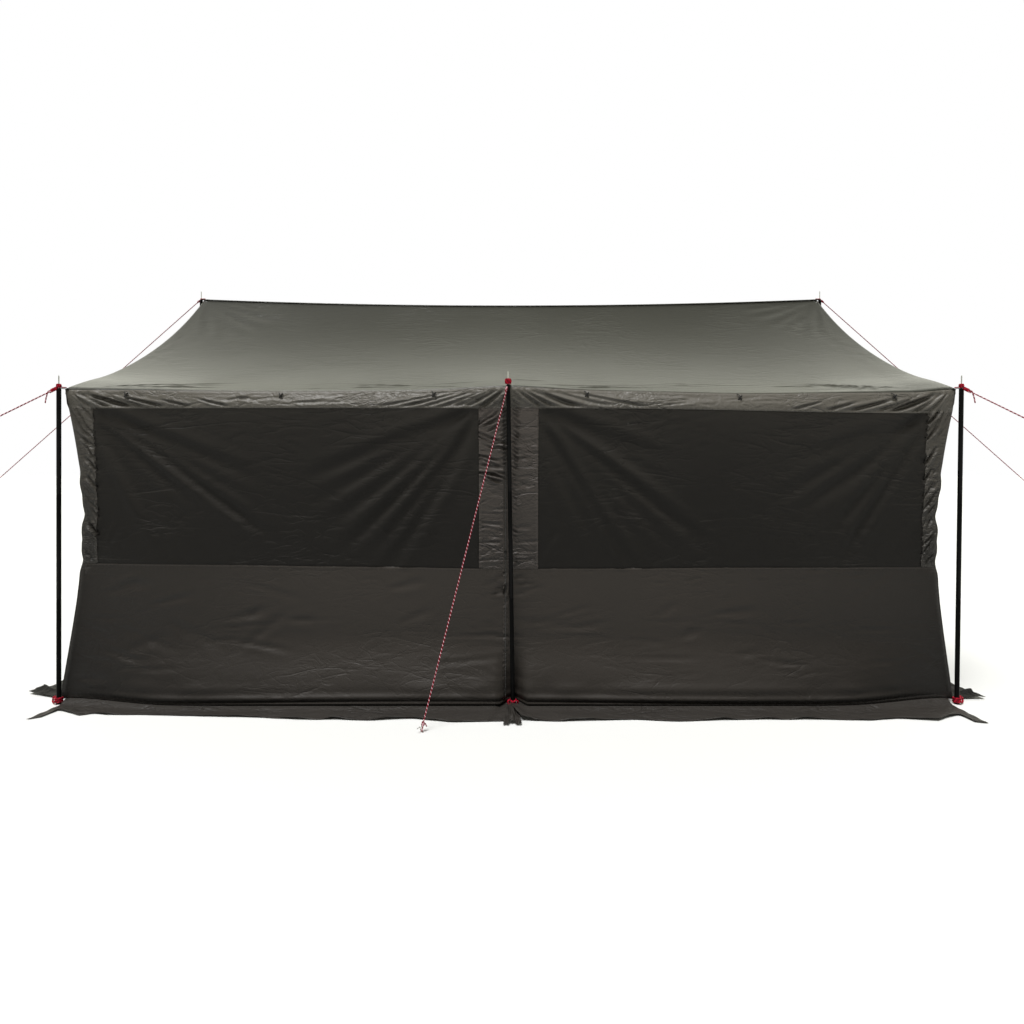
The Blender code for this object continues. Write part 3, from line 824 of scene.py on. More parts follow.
def long_wall_lines():
    """The folds of a long wall, by the panel they are in."""
    rng = np.random.default_rng(7)
    band, centre, strips = [], [], []
    for way in (-1, 1):
        band += band_lines(rng, way)
        strips += strip_lines(rng, 2.17, 2.3, way)
        tip = (-90 - way * 12, -90 - way * 42)
        corner = (way * EAVE_HALF_LENGTH, EAVE_Z + 0.01)
        strips += rays(rng, 3, corner, tip, (0.05, 0.3), (0.008, 0.012), (0.008, 0.012))
        gathers = pole_gathers(rng, way)
        band += gathers
        centre += gathers
    centre += [*all_scattered(rng, CENTRE_FOLDS), CENTRE_CREASE]
    windows = window_lines(rng, -WINDOW_OUTER_X, WINDOW_LEFT_X)
    windows += window_lines(rng, WINDOW_RIGHT_X, WINDOW_OUTER_X)
    lower = lower_lines(rng, 2.2)
    for angles in ((-80, -35), (-145, -100)):
        lower += rays(rng, 5, (0.0, SEAM_Z + 0.01), angles, (0.02, 0.2), (0.008, 0.013), (0.008, 0.013))
    lower += [(-0.14, 0.262, 0.15, 0.258, 0.006, 0.006), (-0.1, 0.36, -0.02, 0.33, 0.006, 0.008)]
    middle = (-0.13, 0.15, 0.13, 0.6)
    lower += scattered(rng, 16, middle, (-35, 35), (0.05, 0.12), (0.004, 0.008), (0.006, 0.010))
    return {"band": band, "strips": strips, "centre": centre, "windows": windows, "lower": lower}


def end_wall_lines():
    """The folds of an end wall and its gable, by the panel they are in."""
    rng = np.random.default_rng(11)
    band, strips = [], []
    for way in (-1, 1):
        band += corner_fan(rng, -way * EAVE_HALF_WIDTH, way)
        up = (8, 26) if way == 1 else (172, 154)
        band += rays(rng, 5, (-way * EAVE_HALF_WIDTH, EAVE_Z), up, (0.1, 0.9), (0.005, 0.008), (0.012, 0.02))
        strips += strip_lines(rng, 1.36, 1.5, way)
    band += rays(rng, 6, (0.0, RIDGE_Z), (-75, -105), (0.05, 0.6), (0.005, 0.008), (0.012, 0.02))
    band += scattered(rng, 10, (-0.8, 1.55, 0.8, 1.9), (-15, 15), (0.1, 0.4), (0.004, 0.006), (0.01, 0.02))
    windows = window_lines(rng, -END_WINDOW_HALF, END_WINDOW_HALF)
    return {"band": band, "strips": strips, "centre": [], "windows": windows, "lower": lower_lines(rng, 1.4)}


def roof_lines():
    """The folds of a roof half, over X and the distance up the slope."""
    rng = np.random.default_rng(5)
    ridge_up = SLOPE_LENGTH - 0.01
    fans = (
        (7, (0.0, 0.0), (2, 15), (0.12, 1.3), (0.002, 0.0045), (0.014, 0.024)),
        (7, (0.0, 0.0), (178, 165), (0.12, 1.3), (0.002, 0.0045), (0.014, 0.024)),
        (6, (-EAVE_HALF_LENGTH, 0.0), (1, 20), (0.08, 0.9), (0.003, 0.005), (0.008, 0.016)),
        (6, (EAVE_HALF_LENGTH, 0.0), (179, 160), (0.08, 0.9), (0.003, 0.005), (0.008, 0.016)),
        (5, (-RIDGE_HALF_LENGTH, ridge_up), (-8, -70), (0.06, 0.8), (0.002, 0.004), (0.03, 0.045)),
        (5, (RIDGE_HALF_LENGTH, ridge_up), (188, 250), (0.06, 0.8), (0.002, 0.004), (0.03, 0.045)),
    )
    at_end = ((-25, 25), (0.08, 0.2), (0.001, 0.002), (0.008, 0.014))
    small = (
        (12, (-2.26, 0.7, -2.12, 1.6), *at_end),
        (12, (2.12, 0.7, 2.26, 1.6), *at_end),
        (16, (-2.0, 0.05, 2.0, 0.3), (-9, 9), (0.15, 0.5), (0.001, 0.003), (0.012, 0.02)),
    )
    return all_rays(rng, fans) + all_scattered(rng, small)


# The folds of each kind of wall, the windows' edges across it, and its corner.
WALL_FOLDS = {"long": long_wall_lines(), "end": end_wall_lines()}
WALL_PANES = {
    "long": ((-WINDOW_OUTER_X, WINDOW_LEFT_X), (WINDOW_RIGHT_X, WINDOW_OUTER_X)),
    "end": ((-END_WINDOW_HALF, END_WINDOW_HALF),),
}
WALL_CORNER = {"long": EAVE_HALF_LENGTH, "end": EAVE_HALF_WIDTH}
ROOF_FOLDS = roof_lines()


def hem_rolls(x, z, phase):
    """The slack cloth above the ground: a low broken roll, and a tuck where the skirt is sewn on."""
    swell = 0.75 + 0.25 * np.sin(2.3 * x + phase) * np.sin(0.9 * x + 2 * phase)
    high = 0.048 + 0.006 * np.sin(1.9 * x + phase)
    roll = 0.008 * hump(z, high, 0.013) + 0.003 * hump(z, high + 0.045, 0.02)
    groove = 0.005 * hump(z, high - 0.022, 0.005)
    tuck = 0.005 * hump(z, BASE_Z, 0.005)
    crossing = 0.003 * np.sin(14 * x + 5 * np.sin(3 * x)) * hump(z, 0.09, 0.03)
    return swell * (roll - groove) - tuck + crossing


def panel_folds(kind, x, z):
    """The folds of a wall, each kept to its own panel."""
    panes = WALL_PANES[kind]
    in_window = np.zeros_like(x)
    for left, right in panes:
        pane = ease(left - 0.005, left + 0.09, x) * (1 - ease(right - 0.09, right + 0.005, x))
        in_window = np.maximum(in_window, pane)
    above = ease(WINDOW_TOP_Z - 0.004, WINDOW_TOP_Z + 0.012, z)
    below = 1 - ease(SEAM_Z - 0.012, SEAM_Z + 0.004, z)
    between = (1 - above) * (1 - below)
    outer_edge = panes[-1][1]
    outer = ease(outer_edge - 0.02, outer_edge + 0.005, np.abs(x))
    shares = {
        "band": np.maximum(above, outer * between),
        "strips": outer * between,
        "windows": in_window * between,
        "centre": (1 - in_window) * (1 - outer) * between,
        "lower": below,
    }
    return sum(wrinkles(WALL_FOLDS[kind][panel], x, z) * share for panel, share in shares.items())


def wall_relief(kind, x, z):
    """How far a wall stands out from the taut shape, for a long or an end wall, over its width and height."""
    out = panel_folds(kind, x, z)
    pole_x = 0.0
    if kind == "long":
        pole_x = MIDDLE_LEAN[0]
        up = np.clip((z - WINDOW_TOP_Z) / (EAVE_Z - WINDOW_TOP_Z), 0, 1)
        out -= eave_bow(x) * up**1.3 + eave_round(x) * up**2
        out += 0.3 * eave_bow(x) * hump(z, WINDOW_TOP_Z, 0.3)
    sway = 0.005 * np.sin(3.1 * x + 1) * np.sin(2.6 * z + 0.5) + 0.003 * np.sin(7.3 * x + 4 * z)
    out += sway * ease(EAVE_Z, EAVE_Z - 0.2, z) * ease(0.05, 0.2, z)
    corner = WALL_CORNER[kind]
    slack = ease(corner, corner - 0.6, np.abs(x))
    out += 0.078 * slack * ease(0.35, 0.0, z) * ease(0.014, 0.075, np.abs(x - pole_x))
    out += hem_rolls(x, z, corner) * (0.2 + 0.8 * slack)
    reach = wall_reach(kind, z)
    inside = 1 - ease(reach - 0.05, reach, np.abs(x))
    return out * inside * bpy.context.scene.tent_sizes.folds


def corner_lean(z):
    """How far in a leaning corner stands at each height."""
    return CORNER_LEAN * np.clip(1 - z / LEAN_TOP_Z, 0, 1)


def corner_swell(z):
    """How far the corner seam bulges in and out along its height."""
    wave = 0.004 * np.sin(23 * z + 1.0) + 0.002 * np.sin(51 * z)
    return wave * ease(0.5, 0.75, z) * (1 - ease(1.05, 1.3, z))


def seam_shift(kind, x, z):
    """How far the cloth's own tension moves its seams up or down."""
    if kind == "end":
        return 0.02 * ease(0.6, 1.4, np.abs(x)) * ease(0.35, 0.0, z)
    at_base = 0.013 * ease(1.5, 2.3, np.abs(x))
    at_seam = np.where(x < 0, -0.012 - x / WINDOW_OUTER_X * 0.03, -0.012 + x / WINDOW_OUTER_X * 0.01)
    at_top = -0.026 * ease(0.3, WINDOW_OUTER_X, x)
    heights = (BASE_Z, SEAM_Z, WINDOW_TOP_Z)
    base, seam, top = [np.interp(z, heights, row) for row in ((1, 0, 0), (0, 1, 0), (0, 0, 1))]
    top = top * (1 - ease(WINDOW_TOP_Z, EAVE_Z - 0.02, z))
    return at_base * base + at_seam * seam + at_top * top


def wall_points(kind, x, z, proud=0.0):
    """Places on the front long wall or the right end wall, from the width and height of the taut cloth."""
    swell = corner_swell(z)
    reach = wall_reach(kind, z)
    near = ease(reach - 0.15, reach, np.abs(x))
    across = x + np.sign(x) * swell * near
    out = wall_stand(kind, z) + wall_relief(kind, x, z) + swell * near + proud
    up = z + seam_shift(kind, x, z)
    if kind == "long":
        across = across - corner_lean(z) * np.clip(x / reach, 0, 1) ** 2
        return np.stack([across, -out, up], axis=-1)
    out = out - corner_lean(z) * np.clip(-x / reach, 0, 1) ** 2
    return np.stack([out, across, up], axis=-1)


def roof_points(along, share):
    """Places on the front roof half, from how far along and how far up it they are."""
    x = along * roof_end_x(share)
    up = share * SLOPE_LENGTH
    out = wrinkles(ROOF_FOLDS, x, up) * ease(0.0, 0.06, share) * (1 - ease(0.93, 1.0, share))
    out *= 1 - ease(0.97, 1.0, np.abs(along))
    out *= bpy.context.scene.tent_sizes.folds
    y = -(GAP / 2 + (EAVE_HALF_WIDTH - GAP / 2) * (1 - share))
    inwards = eave_bow(x) + eave_round(x)
    eave_out = wall_relief("long", x, np.full_like(x, FOLDS_OVER_Z)) + inwards
    eave_out = eave_out * np.exp(-up / 0.03) - inwards * np.exp(-up / 0.3)
    return np.stack([x, y - 0.4 * out - eave_out, roof_z(along, share) + 0.003 + 0.9 * out], axis=-1)


def eave_profile(xs):
    """The band's top row, the corner it turns about, and where the roof starts, over X at the front."""
    band = wall_points("long", xs, np.full_like(xs, BAND_TOP))
    lift = eave_rise(xs)
    band[:, 2] += lift * 0.8
    out = wall_relief("long", xs, np.full_like(xs, FOLDS_OVER_Z))
    corner = np.stack([xs, -EAVE_HALF_WIDTH - out - 0.002, EAVE_Z + 0.004 + lift], axis=-1)
    start = roof_points(xs / EAVE_HALF_LENGTH, np.full_like(xs, ROOF_START))
    return band, corner, start


def curved_eave(last, corner, start):
    """Rows that turn smoothly from a panel's last row about a corner to the start of the next panel."""
    shares = np.linspace(0, 1, 2 * EAVE_ROWS + 1)[1:, None, None]
    return (1 - shares) ** 2 * last[None] + 2 * shares * (1 - shares) * corner[None] + shares**2 * start[None]


def steps(*stops):
    """Values from stop to stop, where a count stands between each two stops."""
    values = [np.array([stops[0]], dtype=float)]
    for i in range(0, len(stops) - 2, 2):
        values.append(np.linspace(stops[i], stops[i + 2], stops[i + 1] + 1)[1:])
    return np.concatenate(values)


# The heights of the panels' rows: fine steps where the cloth is gathered.
LOWER_ZS = steps(BASE_Z, 34, 0.13, 34, 0.55, 17, SEAM_Z + SEAM_LAP)
WINDOW_ZS = steps(SEAM_Z, 56, WINDOW_TOP_Z)
STRIP_ZS = steps(SEAM_Z, 112, WINDOW_TOP_Z)
CENTRE_ZS = steps(SEAM_Z, 170, WINDOW_TOP_Z)
BAND_ZS = steps(WINDOW_TOP_Z - SEAM_LAP, 15, BAND_TOP)


def half_turn(points, turn):
    """The places turned half round the tent's middle where turn is -1, or left where they are."""
    return points * np.array([turn, turn, 1.0])


def run_along(path):
    """The length along a path from its start to each of its places."""
    return np.concatenate([[0], np.cumsum(np.linalg.norm(np.diff(path, axis=0), axis=1))])


def flat_map(x, up):
    """A sheet's flat map, from each place's X and each row's height on the cloth."""
    return np.stack([x, np.repeat(up[:, None], x.shape[1], axis=1)], axis=-1)


def grid_faces(index):
    """The faces between the rows and columns of a grid of numbered places."""
    return np.stack([index[:-1, :-1], index[:-1, 1:], index[1:, 1:], index[1:, :-1]], axis=-1).reshape(-1, 4)


def mesh_piece(name, verts, faces):
    """A new object with a mesh of its own."""
    mesh = bpy.data.meshes.new(name)
    mesh.from_pydata(verts, [], faces)
    piece = bpy.data.objects.new(name, mesh)
    bpy.context.scene.collection.objects.link(piece)
    return piece


def bind(piece, finish, nodes=()):
    """Gives a piece its finish and its body, and hides the nodes that it stands for."""
    piece.data.materials.clear()
    piece.data.materials.append(finish_of(finish))
    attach(piece, "root")
    if nodes:
        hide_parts(*nodes)


def closed_sheet(name, points):
    """A sheet on a grid of places, closed by a second layer just inside and a rim."""
    rows, columns = points.shape[:2]
    down, right = np.gradient(points, axis=0), np.gradient(points, axis=1)
    normal = np.cross(right, down)
    normal /= np.linalg.norm(normal, axis=-1, keepdims=True) + 1e-12
    inner = points - normal * bpy.context.scene.tent_sizes.cloth
    verts = np.concatenate([points.reshape(-1, 3), inner.reshape(-1, 3)])
    under = rows * columns
    index = np.arange(under).reshape(rows, columns)
    outer_faces = grid_faces(index)
    rim = np.concatenate([index[0], index[1:, -1], index[-1, -2::-1], index[-2:0:-1, 0]])
    ahead = np.roll(rim, -1)
    rim_faces = np.stack([ahead, rim, rim + under, ahead + under], axis=-1)
    faces = np.concatenate([outer_faces, outer_faces[:, ::-1] + under, rim_faces])
    piece = mesh_piece(name, verts.tolist(), faces.tolist())
    smooth = np.ones(len(faces), dtype=bool)
    smooth[-len(rim_faces) :] = False
    piece.data.polygons.foreach_set("use_smooth", smooth)
    return piece, faces


def hem_map(flat, turned):
    """How far along its nearest edge and how far inside it each place is. The turned edge has no hem."""
    edges = {"left": flat[:, :1], "right": flat[:, -1:], "first": flat[:1], "last": flat[-1:]}
    inside = [np.linalg.norm(flat - edge, axis=-1) + (name == turned) for name, edge in edges.items()]
    beside = np.argmin(inside, axis=0) < 2
    run = np.where(beside, flat[..., 1], flat[..., 0])
    return np.stack([run, np.min(inside, axis=0)], axis=-1)


def cloth_piece(name, points, flat, finish, nodes, rests_on, turned=""):
    """A sheet of cloth from rows of places, with maps of its weave and hems.

    The cloth runs on past its turned edge: "left", "right", "first" for the first row or "last" for the last.
    """
    piece, faces = closed_sheet(name, points)
    for layer_name, values in (("weave", flat), ("hem", hem_map(flat, turned))):
        twice = np.tile(values.reshape(-1, 2), (2, 1))
        layer = piece.data.uv_layers.new(name=layer_name)
        layer.data.foreach_set("uv", twice[faces.ravel()].ravel())
    piece.data.update()
    bind(piece, finish, nodes)


class Wall(NamedTuple):
    """A wall: long or end, its side of the tent, and -1 where it is the other one turned half round."""

    kind: str
    side: str
    turn: int

    def poles(self):
        """The poles that hold the wall."""
        if self.kind == "long":
            return [f"{self.side}_{place}_pole" for place in ("left", "centre", "right")]
        return [f"front_{self.side}_pole", f"back_{self.side}_pole", f"{self.side}_ridge_pole"]

    def panel(self, name, x, z, finish, slot, node, proud, cut=None):
        """A stretched panel over a grid of widths and heights."""
        points = half_turn(wall_points(self.kind, x, z, proud), self.turn)
        nodes = [node] if node else []
        flat = np.stack([x, z], axis=-1)
        cloth_piece(name, points, flat, finish, nodes, self.poles())


LONG_WALLS = (Wall("long", "front", 1), Wall("long", "back", -1))
END_WALLS = (Wall("end", "right", 1), Wall("end", "left", -1))


def make_roof(wall):
    """A roof half: the turned-over eave, the sagging slope and a lip over each gable."""
    along = steps(-1, 9, -0.97, 190, 0.97, 9, 1)
    turned = curved_eave(*eave_profile(along * EAVE_HALF_LENGTH))[EAVE_ROWS - 1 :]
    share = steps(ROOF_START, 12, 0.1, 22, 0.24, 38, 0.94, 6, 1)[1:]
    grid_share, grid_along = np.meshgrid(share, along, indexing="ij")
    points = np.concatenate([turned, roof_points(grid_along, grid_share)])
    left, right = points[:, :1] + (-LIP_OUT, 0, -LIP), points[:, -1:] + (LIP_OUT, 0, -LIP)
    points = np.concatenate([left, points, right], axis=1)
    x = points[..., 0].copy()
    x[:, 0] -= LIP
    x[:, -1] += LIP
    flat = flat_map(x, run_along(points[:, points.shape[1] // 2]))
    points = half_turn(points, wall.turn)
    poles = ["left_ridge_pole", "right_ridge_pole", *wall.poles()]
    node = wall.side + "_roof"
    cloth_piece(
        node + "_cloth", points, flat, "roof", [node], poles, turned="first"
    )


def make_ridge_tape():
    """The tape that covers both edges of the cloth along the ridge."""
    along = np.linspace(-1, 1, 121)
    crest = RIDGE_Z - RIDGE_SAG * (1 - along * along) + 0.0065
    x = along * (RIDGE_HALF_LENGTH + 0.001)
    rows = []
    for y, drop in ((0.016, 0.0075), (0.008, 0.0012), (0.0, 0.0), (-0.008, 0.0012), (-0.016, 0.0075)):
        rows.append(np.stack([x, np.full_like(along, -y), crest - drop], axis=-1))
    points = np.array(rows)
    flat = flat_map(points[..., 0], np.linspace(0, 0.035, len(rows)))
    cloth_piece("ridge_tape", points, flat, "roof", [], ["front_roof_cloth"])


def make_lower_wall(wall, columns):
    """A lower wall from corner to corner, its top edge tucked in behind the window's lower edge."""
    z, x = np.meshgrid(LOWER_ZS, np.linspace(-1, 1, columns), indexing="ij")
    proud = np.where(z > SEAM_Z + SEAM_LAP / 2, -PROUD, PROUD / 2)
    node = wall.side + "_lower_wall"
    wall.panel(node + "_cloth", x * wall_reach(wall.kind, z), z, "lower", "lower_wall_cloth", node, proud)


def make_window(wall, node, left, right, columns):
    """The net of one window."""
    z, x = np.meshgrid(WINDOW_ZS, np.linspace(left, right, columns), indexing="ij")
    wall.panel(node + "_net", x, z, "net", "window_mesh", node, 0.0)


def make_corner_strip(wall, name, way, inner):
    """A corner strip, from the window's edge to the corner seam, overlapping the window by its seam."""
    z, share = np.meshgrid(STRIP_ZS, np.linspace(0, 1, 17), indexing="ij")
    x = way * (inner - SEAM_LAP + (wall_reach(wall.kind, z) - inner + SEAM_LAP) * share)
    name = f"{wall.side}_{name}_corner_strip"
    wall.panel(name, x[:, ::way], z, "strip", "wall_cloth", wall.side + "_upper_wall", PROUD)


def make_centre_strip(wall):
    """The strip behind the middle pole, between the two windows."""
    xs = steps(WINDOW_LEFT_X - SEAM_LAP, 22, 0.0, 20, WINDOW_RIGHT_X + SEAM_LAP)
    z, x = np.meshgrid(CENTRE_ZS, xs, indexing="ij")
    wall.panel(wall.side + "_centre_strip", x, z, "wall", "wall_cloth", wall.side + "_upper_wall", PROUD)


# The band's length up the cloth is measured on this column, near a quarter of the way along.
QUARTER_COLUMN = 120


def make_eave_band(wall):
    """The band under the eave, which turns in over it to meet the roof."""
    along = steps(-1, 12, -0.97, 460, 0.97, 12, 1)
    z, share = np.meshgrid(BAND_ZS, along, indexing="ij")
    x = share * half_length(z)
    points = wall_points("long", x, z, PROUD)
    points[..., 2] += eave_rise(x) * 0.8 * ease(WINDOW_TOP_Z, BAND_TOP, z)
    profile = eave_profile(along * EAVE_HALF_LENGTH)
    points[-1] = profile[0]
    points = np.concatenate([points, curved_eave(*profile)[:EAVE_ROWS]])
    up = WINDOW_TOP_Z - SEAM_LAP + run_along(points[:, QUARTER_COLUMN])
    flat = flat_map(points[..., 0], up)
    name, node = wall.side + "_eave_band", wall.side + "_upper_wall"
    points = half_turn(points, wall.turn)
    cloth_piece(name, points, flat, "band", [node], wall.poles(), "last")


def make_long_wall(wall):
    """All panels of a long wall. Its left and right swap names where it is turned round to the back."""
    left, right = ("left", "right")[:: wall.turn]
    make_lower_wall(wall, 165)
    make_window(wall, f"{wall.side}_{left}_window", -WINDOW_OUTER_X, WINDOW_LEFT_X, 111)
    make_window(wall, f"{wall.side}_{right}_window", WINDOW_RIGHT_X, WINDOW_OUTER_X, 111)
    make_corner_strip(wall, left, -1, WINDOW_OUTER_X)
    make_corner_strip(wall, right, 1, WINDOW_OUTER_X)
    make_centre_strip(wall)
    make_eave_band(wall)


def make_gable(wall):
    """The gable over an end wall's window, up to the underside of the roof."""
    share = np.linspace(0, 1, 49)[:, None]
    across = np.linspace(-1, 1, 121)[None, :]
    low_z = WINDOW_TOP_Z - SEAM_LAP
    low_x, low_y = half_length(low_z), across * half_width(low_z)
    high_y = across * (EAVE_HALF_WIDTH - 0.001)
    up_slope = 1 - np.abs(high_y) / EAVE_HALF_WIDTH
    high_x = roof_end_x(up_slope) - 0.001
    high_z = roof_z(np.ones_like(high_y), up_slope) + 0.0015
    x = low_x + (high_x - low_x) * share
    y = low_y + (high_y - low_y) * np.minimum(share * 4, 1)
    z = low_z + (high_z - low_z) * share
    relief = wall_relief("end", y, z) * (1 - ease(0.9, 1.0, share))
    points = np.stack([x + relief + PROUD, y, z], axis=-1)
    name, node = wall.side + "_gable", wall.side + "_upper_wall"
    turned = half_turn(points, wall.turn)
    cloth_piece(name, turned, points[..., 1:], "wall", [node], wall.poles())


def make_end_wall(wall):
    """All panels of an end wall."""
    make_lower_wall(wall, 97)
    make_window(wall, wall.side + "_window", -END_WINDOW_HALF, END_WINDOW_HALF, 109)
    make_corner_strip(wall, "near", -1, END_WINDOW_HALF)
    make_corner_strip(wall, "far", 1, END_WINDOW_HALF)
    make_gable(wall)


# Outer edges of the skirts, for a long or an end wall, and beside a leaning corner or not:
# the share of the way to the corner, and how far out from the wall's own plane.
SKIRT_EDGES = {
    ("long", False): (
        (0, 0.24), (0.1, 0.253), (0.19, 0.21), (0.27, 0.232), (0.35, 0.221), (0.43, 0.221), (0.51, 0.197),
        (0.6, 0.188), (0.68, 0.177), (0.77, 0.165), (0.85, 0.165), (0.878, 0.15), (0.903, 0.173),
        (0.937, 0.14), (0.958, 0.118), (0.971, 0.112), (0.976, 0.19), (1, 0.222),
    ),
    ("long", True): (
        (0, 0.235), (0.07, 0.243), (0.15, 0.232), (0.23, 0.221), (0.32, 0.243), (0.4, 0.232), (0.48, 0.221),
        (0.66, 0.221), (0.75, 0.232), (0.82, 0.21), (0.9, 0.237), (0.932, 0.2), (0.962, 0.173), (0.97, 0.178),
        (0.974, 0.25), (1, 0.265),
    ),
    ("end", False): (
        (0, 0.24), (0.12, 0.248), (0.3, 0.228), (0.45, 0.24), (0.6, 0.222), (0.85, 0.215), (0.92, 0.203),
        (0.955, 0.215), (0.962, 0.212), (0.967, 0.243), (1, 0.25),
    ),
    ("end", True): (
        (0, 0.22), (0.15, 0.228), (0.35, 0.2), (0.5, 0.19), (0.7, 0.16), (0.84, 0.13), (0.89, 0.115),
        (0.915, 0.127), (0.967, 0.13), (0.972, 0.15), (1, 0.158),
    ),
}
# Where each skirt starts and ends at the wall and at its outer edge, and how far its start is drawn in.
SKIRT_SPANS = {
    ("long", False): ((0.003, 2.3), (0.05, 2.338), 0.022),
    ("long", True): ((0.03, 2.3), (0.1, 2.275), 0.048),
    ("end", False): ((0.014, 1.5), (0.016, 1.43), 0.014),
    ("end", True): ((0.014, 1.5), (0.016, 1.505), 0.014),
}
SKIRT_FLOOR = 0.002


def skirt_waves(along, out, phase):
    """How far a skirt's cloth lifts from the ground: low waves that run out from the wall."""
    ripple = 0.5 + 0.5 * np.sin(17 * along + 3 * np.sin(5 * along + phase) + phase)
    small = 0.5 + 0.5 * np.sin(47 * along - 90 * out + phase)
    return 0.013 * ripple * ease(0.05, 0.16, out) + 0.003 * small * ease(0.02, 0.08, out)


def skirt_hem(kind, leaning, along, corner):
    """Where a skirt is sewn to its wall: how far along and how far out each place is, and how high."""
    low = np.full_like(along, BASE_Z)
    out = wall_stand(kind, low) + wall_relief(kind, along, low)
    high = BASE_Z - SKIRT_FLOOR + seam_shift(kind, along, low)
    lean = corner_lean(BASE_Z) * np.clip(along / corner, 0, 1) ** 2 if leaning else 0.0
    if kind == "long":
        return along - lean, out, high
    return along, out - lean, high


def make_skirt(name, kind, x_side, y_side):
    """A loose strip on the ground beside half of one wall, from the hem down and out."""
    leaning = x_side * y_side == -1
    phase = 1.0 + x_side * y_side * 0.8 + (2 if kind == "end" else 0)
    inner, outer, drawn_in = SKIRT_SPANS[kind, leaning]
    depths, nears = steps(0.0, 10, 0.25, 14, 1.0), steps(0, 12, 0.03, 62, 0.84, 44, 1)
    down, near = np.meshgrid(depths, nears, indexing="ij")
    shares, widths = np.array(SKIRT_EDGES[kind, leaning]).T
    plane = BASE_HALF_WIDTH if kind == "long" else BASE_HALF_LENGTH
    far_out = plane + np.interp(near, shares, widths) * bpy.context.scene.tent_sizes.skirt
    far_along = outer[0] + (outer[1] - outer[0]) * near
    hem_along, hem_out, hem_z = skirt_hem(kind, leaning, inner[0] + (inner[1] - inner[0]) * near, inner[1])
    out = down * (far_out - hem_out)
    along = hem_along + (far_along - hem_along) * down**1.3
    along = along - drawn_in * ease(0.035, 0.065, out) * np.exp(-near / 0.012)
    z = SKIRT_FLOOR + (hem_z - SKIRT_FLOOR) * (1 - ease(0.0, 0.05, out)) + skirt_waves(hem_along, out, phase)
    if kind == "end":
        z += 0.02 * hump(near, 0.955, 0.012) * ease(0.5, 1.0, down)
        points = np.stack([x_side * (hem_out + out), y_side * along, z], axis=-1)
    else:
        z += leaning * 0.013 * hump(near, 0.0, 0.008) * ease(0.02, 0.06, out)
        points = np.stack([x_side * along, y_side * (hem_out + out), z], axis=-1)
    flat = np.stack([along, out], axis=-1)
    # The columns run the other way round where the mirrored cloth would face the ground.
    if leaning == (kind == "long"):
        points, flat = points[:, ::-1], flat[:, ::-1]
    # The end skirts take the darker cloth, whose colour is painted shade.
    finish = "skirt" if kind == "long" else "end_skirt"
    hung_on = [name.split("_")[0] + "_lower_wall_cloth"]
    cloth_piece(name + "_cloth", points, flat, finish, [name], hung_on)


def make_bunch(wall):
    """The bunched ends of two skirts over each other, in front of a middle pole's foot."""
    across, out = np.meshgrid(np.linspace(-1, 1, 41), np.linspace(0, 1, 45), indexing="xy")
    x = 0.004 + 0.008 * out + across * (0.02 + 0.028 * out + 0.008 * out * np.sin(4 * across + 1))
    ragged = 0.01 * np.cos(4 * across + 0.5) + 0.005 * np.sin(13 * across)
    y = 1.598 + out * (0.222 - ragged)
    rise = 0.006 * hump(out, 0.15, 0.2) + 0.012 * hump(out, 0.8, 0.16)
    pleats = 0.005 * np.sin(6 * across + 3 * out) * (0.3 + out) + 0.003 * np.sin(13 * across - 6 * out)
    floor = 0.01 + 0.002 * np.sin(11 * across + 9 * out)
    z = np.maximum(0.016 + rise + pleats - 0.01 * across**2, floor)
    points = half_turn(np.stack([x, -y, z], axis=-1)[::-1], wall.turn)
    flat = np.stack([across * 0.05, out * 0.23], axis=-1)[::-1]
    skirts = [f"{wall.side}_{place}_skirt_cloth" for place in ("left", "right")]
    name = wall.side + "_skirt_bunch"
    cloth_piece(name, points, flat, "skirt", [], skirts)


def tube(name, path, radius, finish, nodes=(), sides=8):
    """A round cord along a path, with a rounded tip at each end and its length and turn in its map."""
    path = np.array(path, dtype=float)
    ahead = np.gradient(path, axis=0)
    ahead /= np.linalg.norm(ahead, axis=1, keepdims=True)
    turns = np.arange(sides) * math.tau / sides
    side = np.cross(ahead[0], (0.3, 0.2, 1.0))
    circles = []
    for way in ahead:
        side = side - way * side.dot(way)
        side /= np.linalg.norm(side)
        up = np.cross(way, side)
        circles.append(radius * (np.outer(np.cos(turns), side) + np.outer(np.sin(turns), up)))
    circles = np.array(circles)
    tip, narrow = 0.8 * radius, 0.55
    first = path[0] - tip * ahead[0] + narrow * circles[0]
    last = path[-1] + tip * ahead[-1] + narrow * circles[-1]
    rings = np.concatenate([[first], path[:, None] + circles, [last]])
    run = run_along(path)
    lengths = [-tip, *run, run[-1] + tip]
    faces, maps = [], []
    for i in range(len(rings) - 1):
        for k in range(sides):
            a, b = i * sides + k, i * sides + (k + 1) % sides
            faces.append((a, b, b + sides, a + sides))
            low, high = k / sides, (k + 1) / sides
            maps += [(lengths[i], low), (lengths[i], high), (lengths[i + 1], high), (lengths[i + 1], low)]
    for ring, order in ((0, -1), (len(rings) - 1, 1)):
        faces.append(tuple(ring * sides + k for k in range(sides))[::order])
        maps += [(lengths[ring], 0.5)] * sides
    piece = mesh_piece(name, rings.reshape(-1, 3).tolist(), faces)
    layer = piece.data.uv_layers.new(name="weave")
    layer.data.foreach_set("uv", np.array(maps).ravel())
    piece.data.polygons.foreach_set("use_smooth", [True] * len(faces))
    piece.data.update()
    bind(piece, finish, nodes)


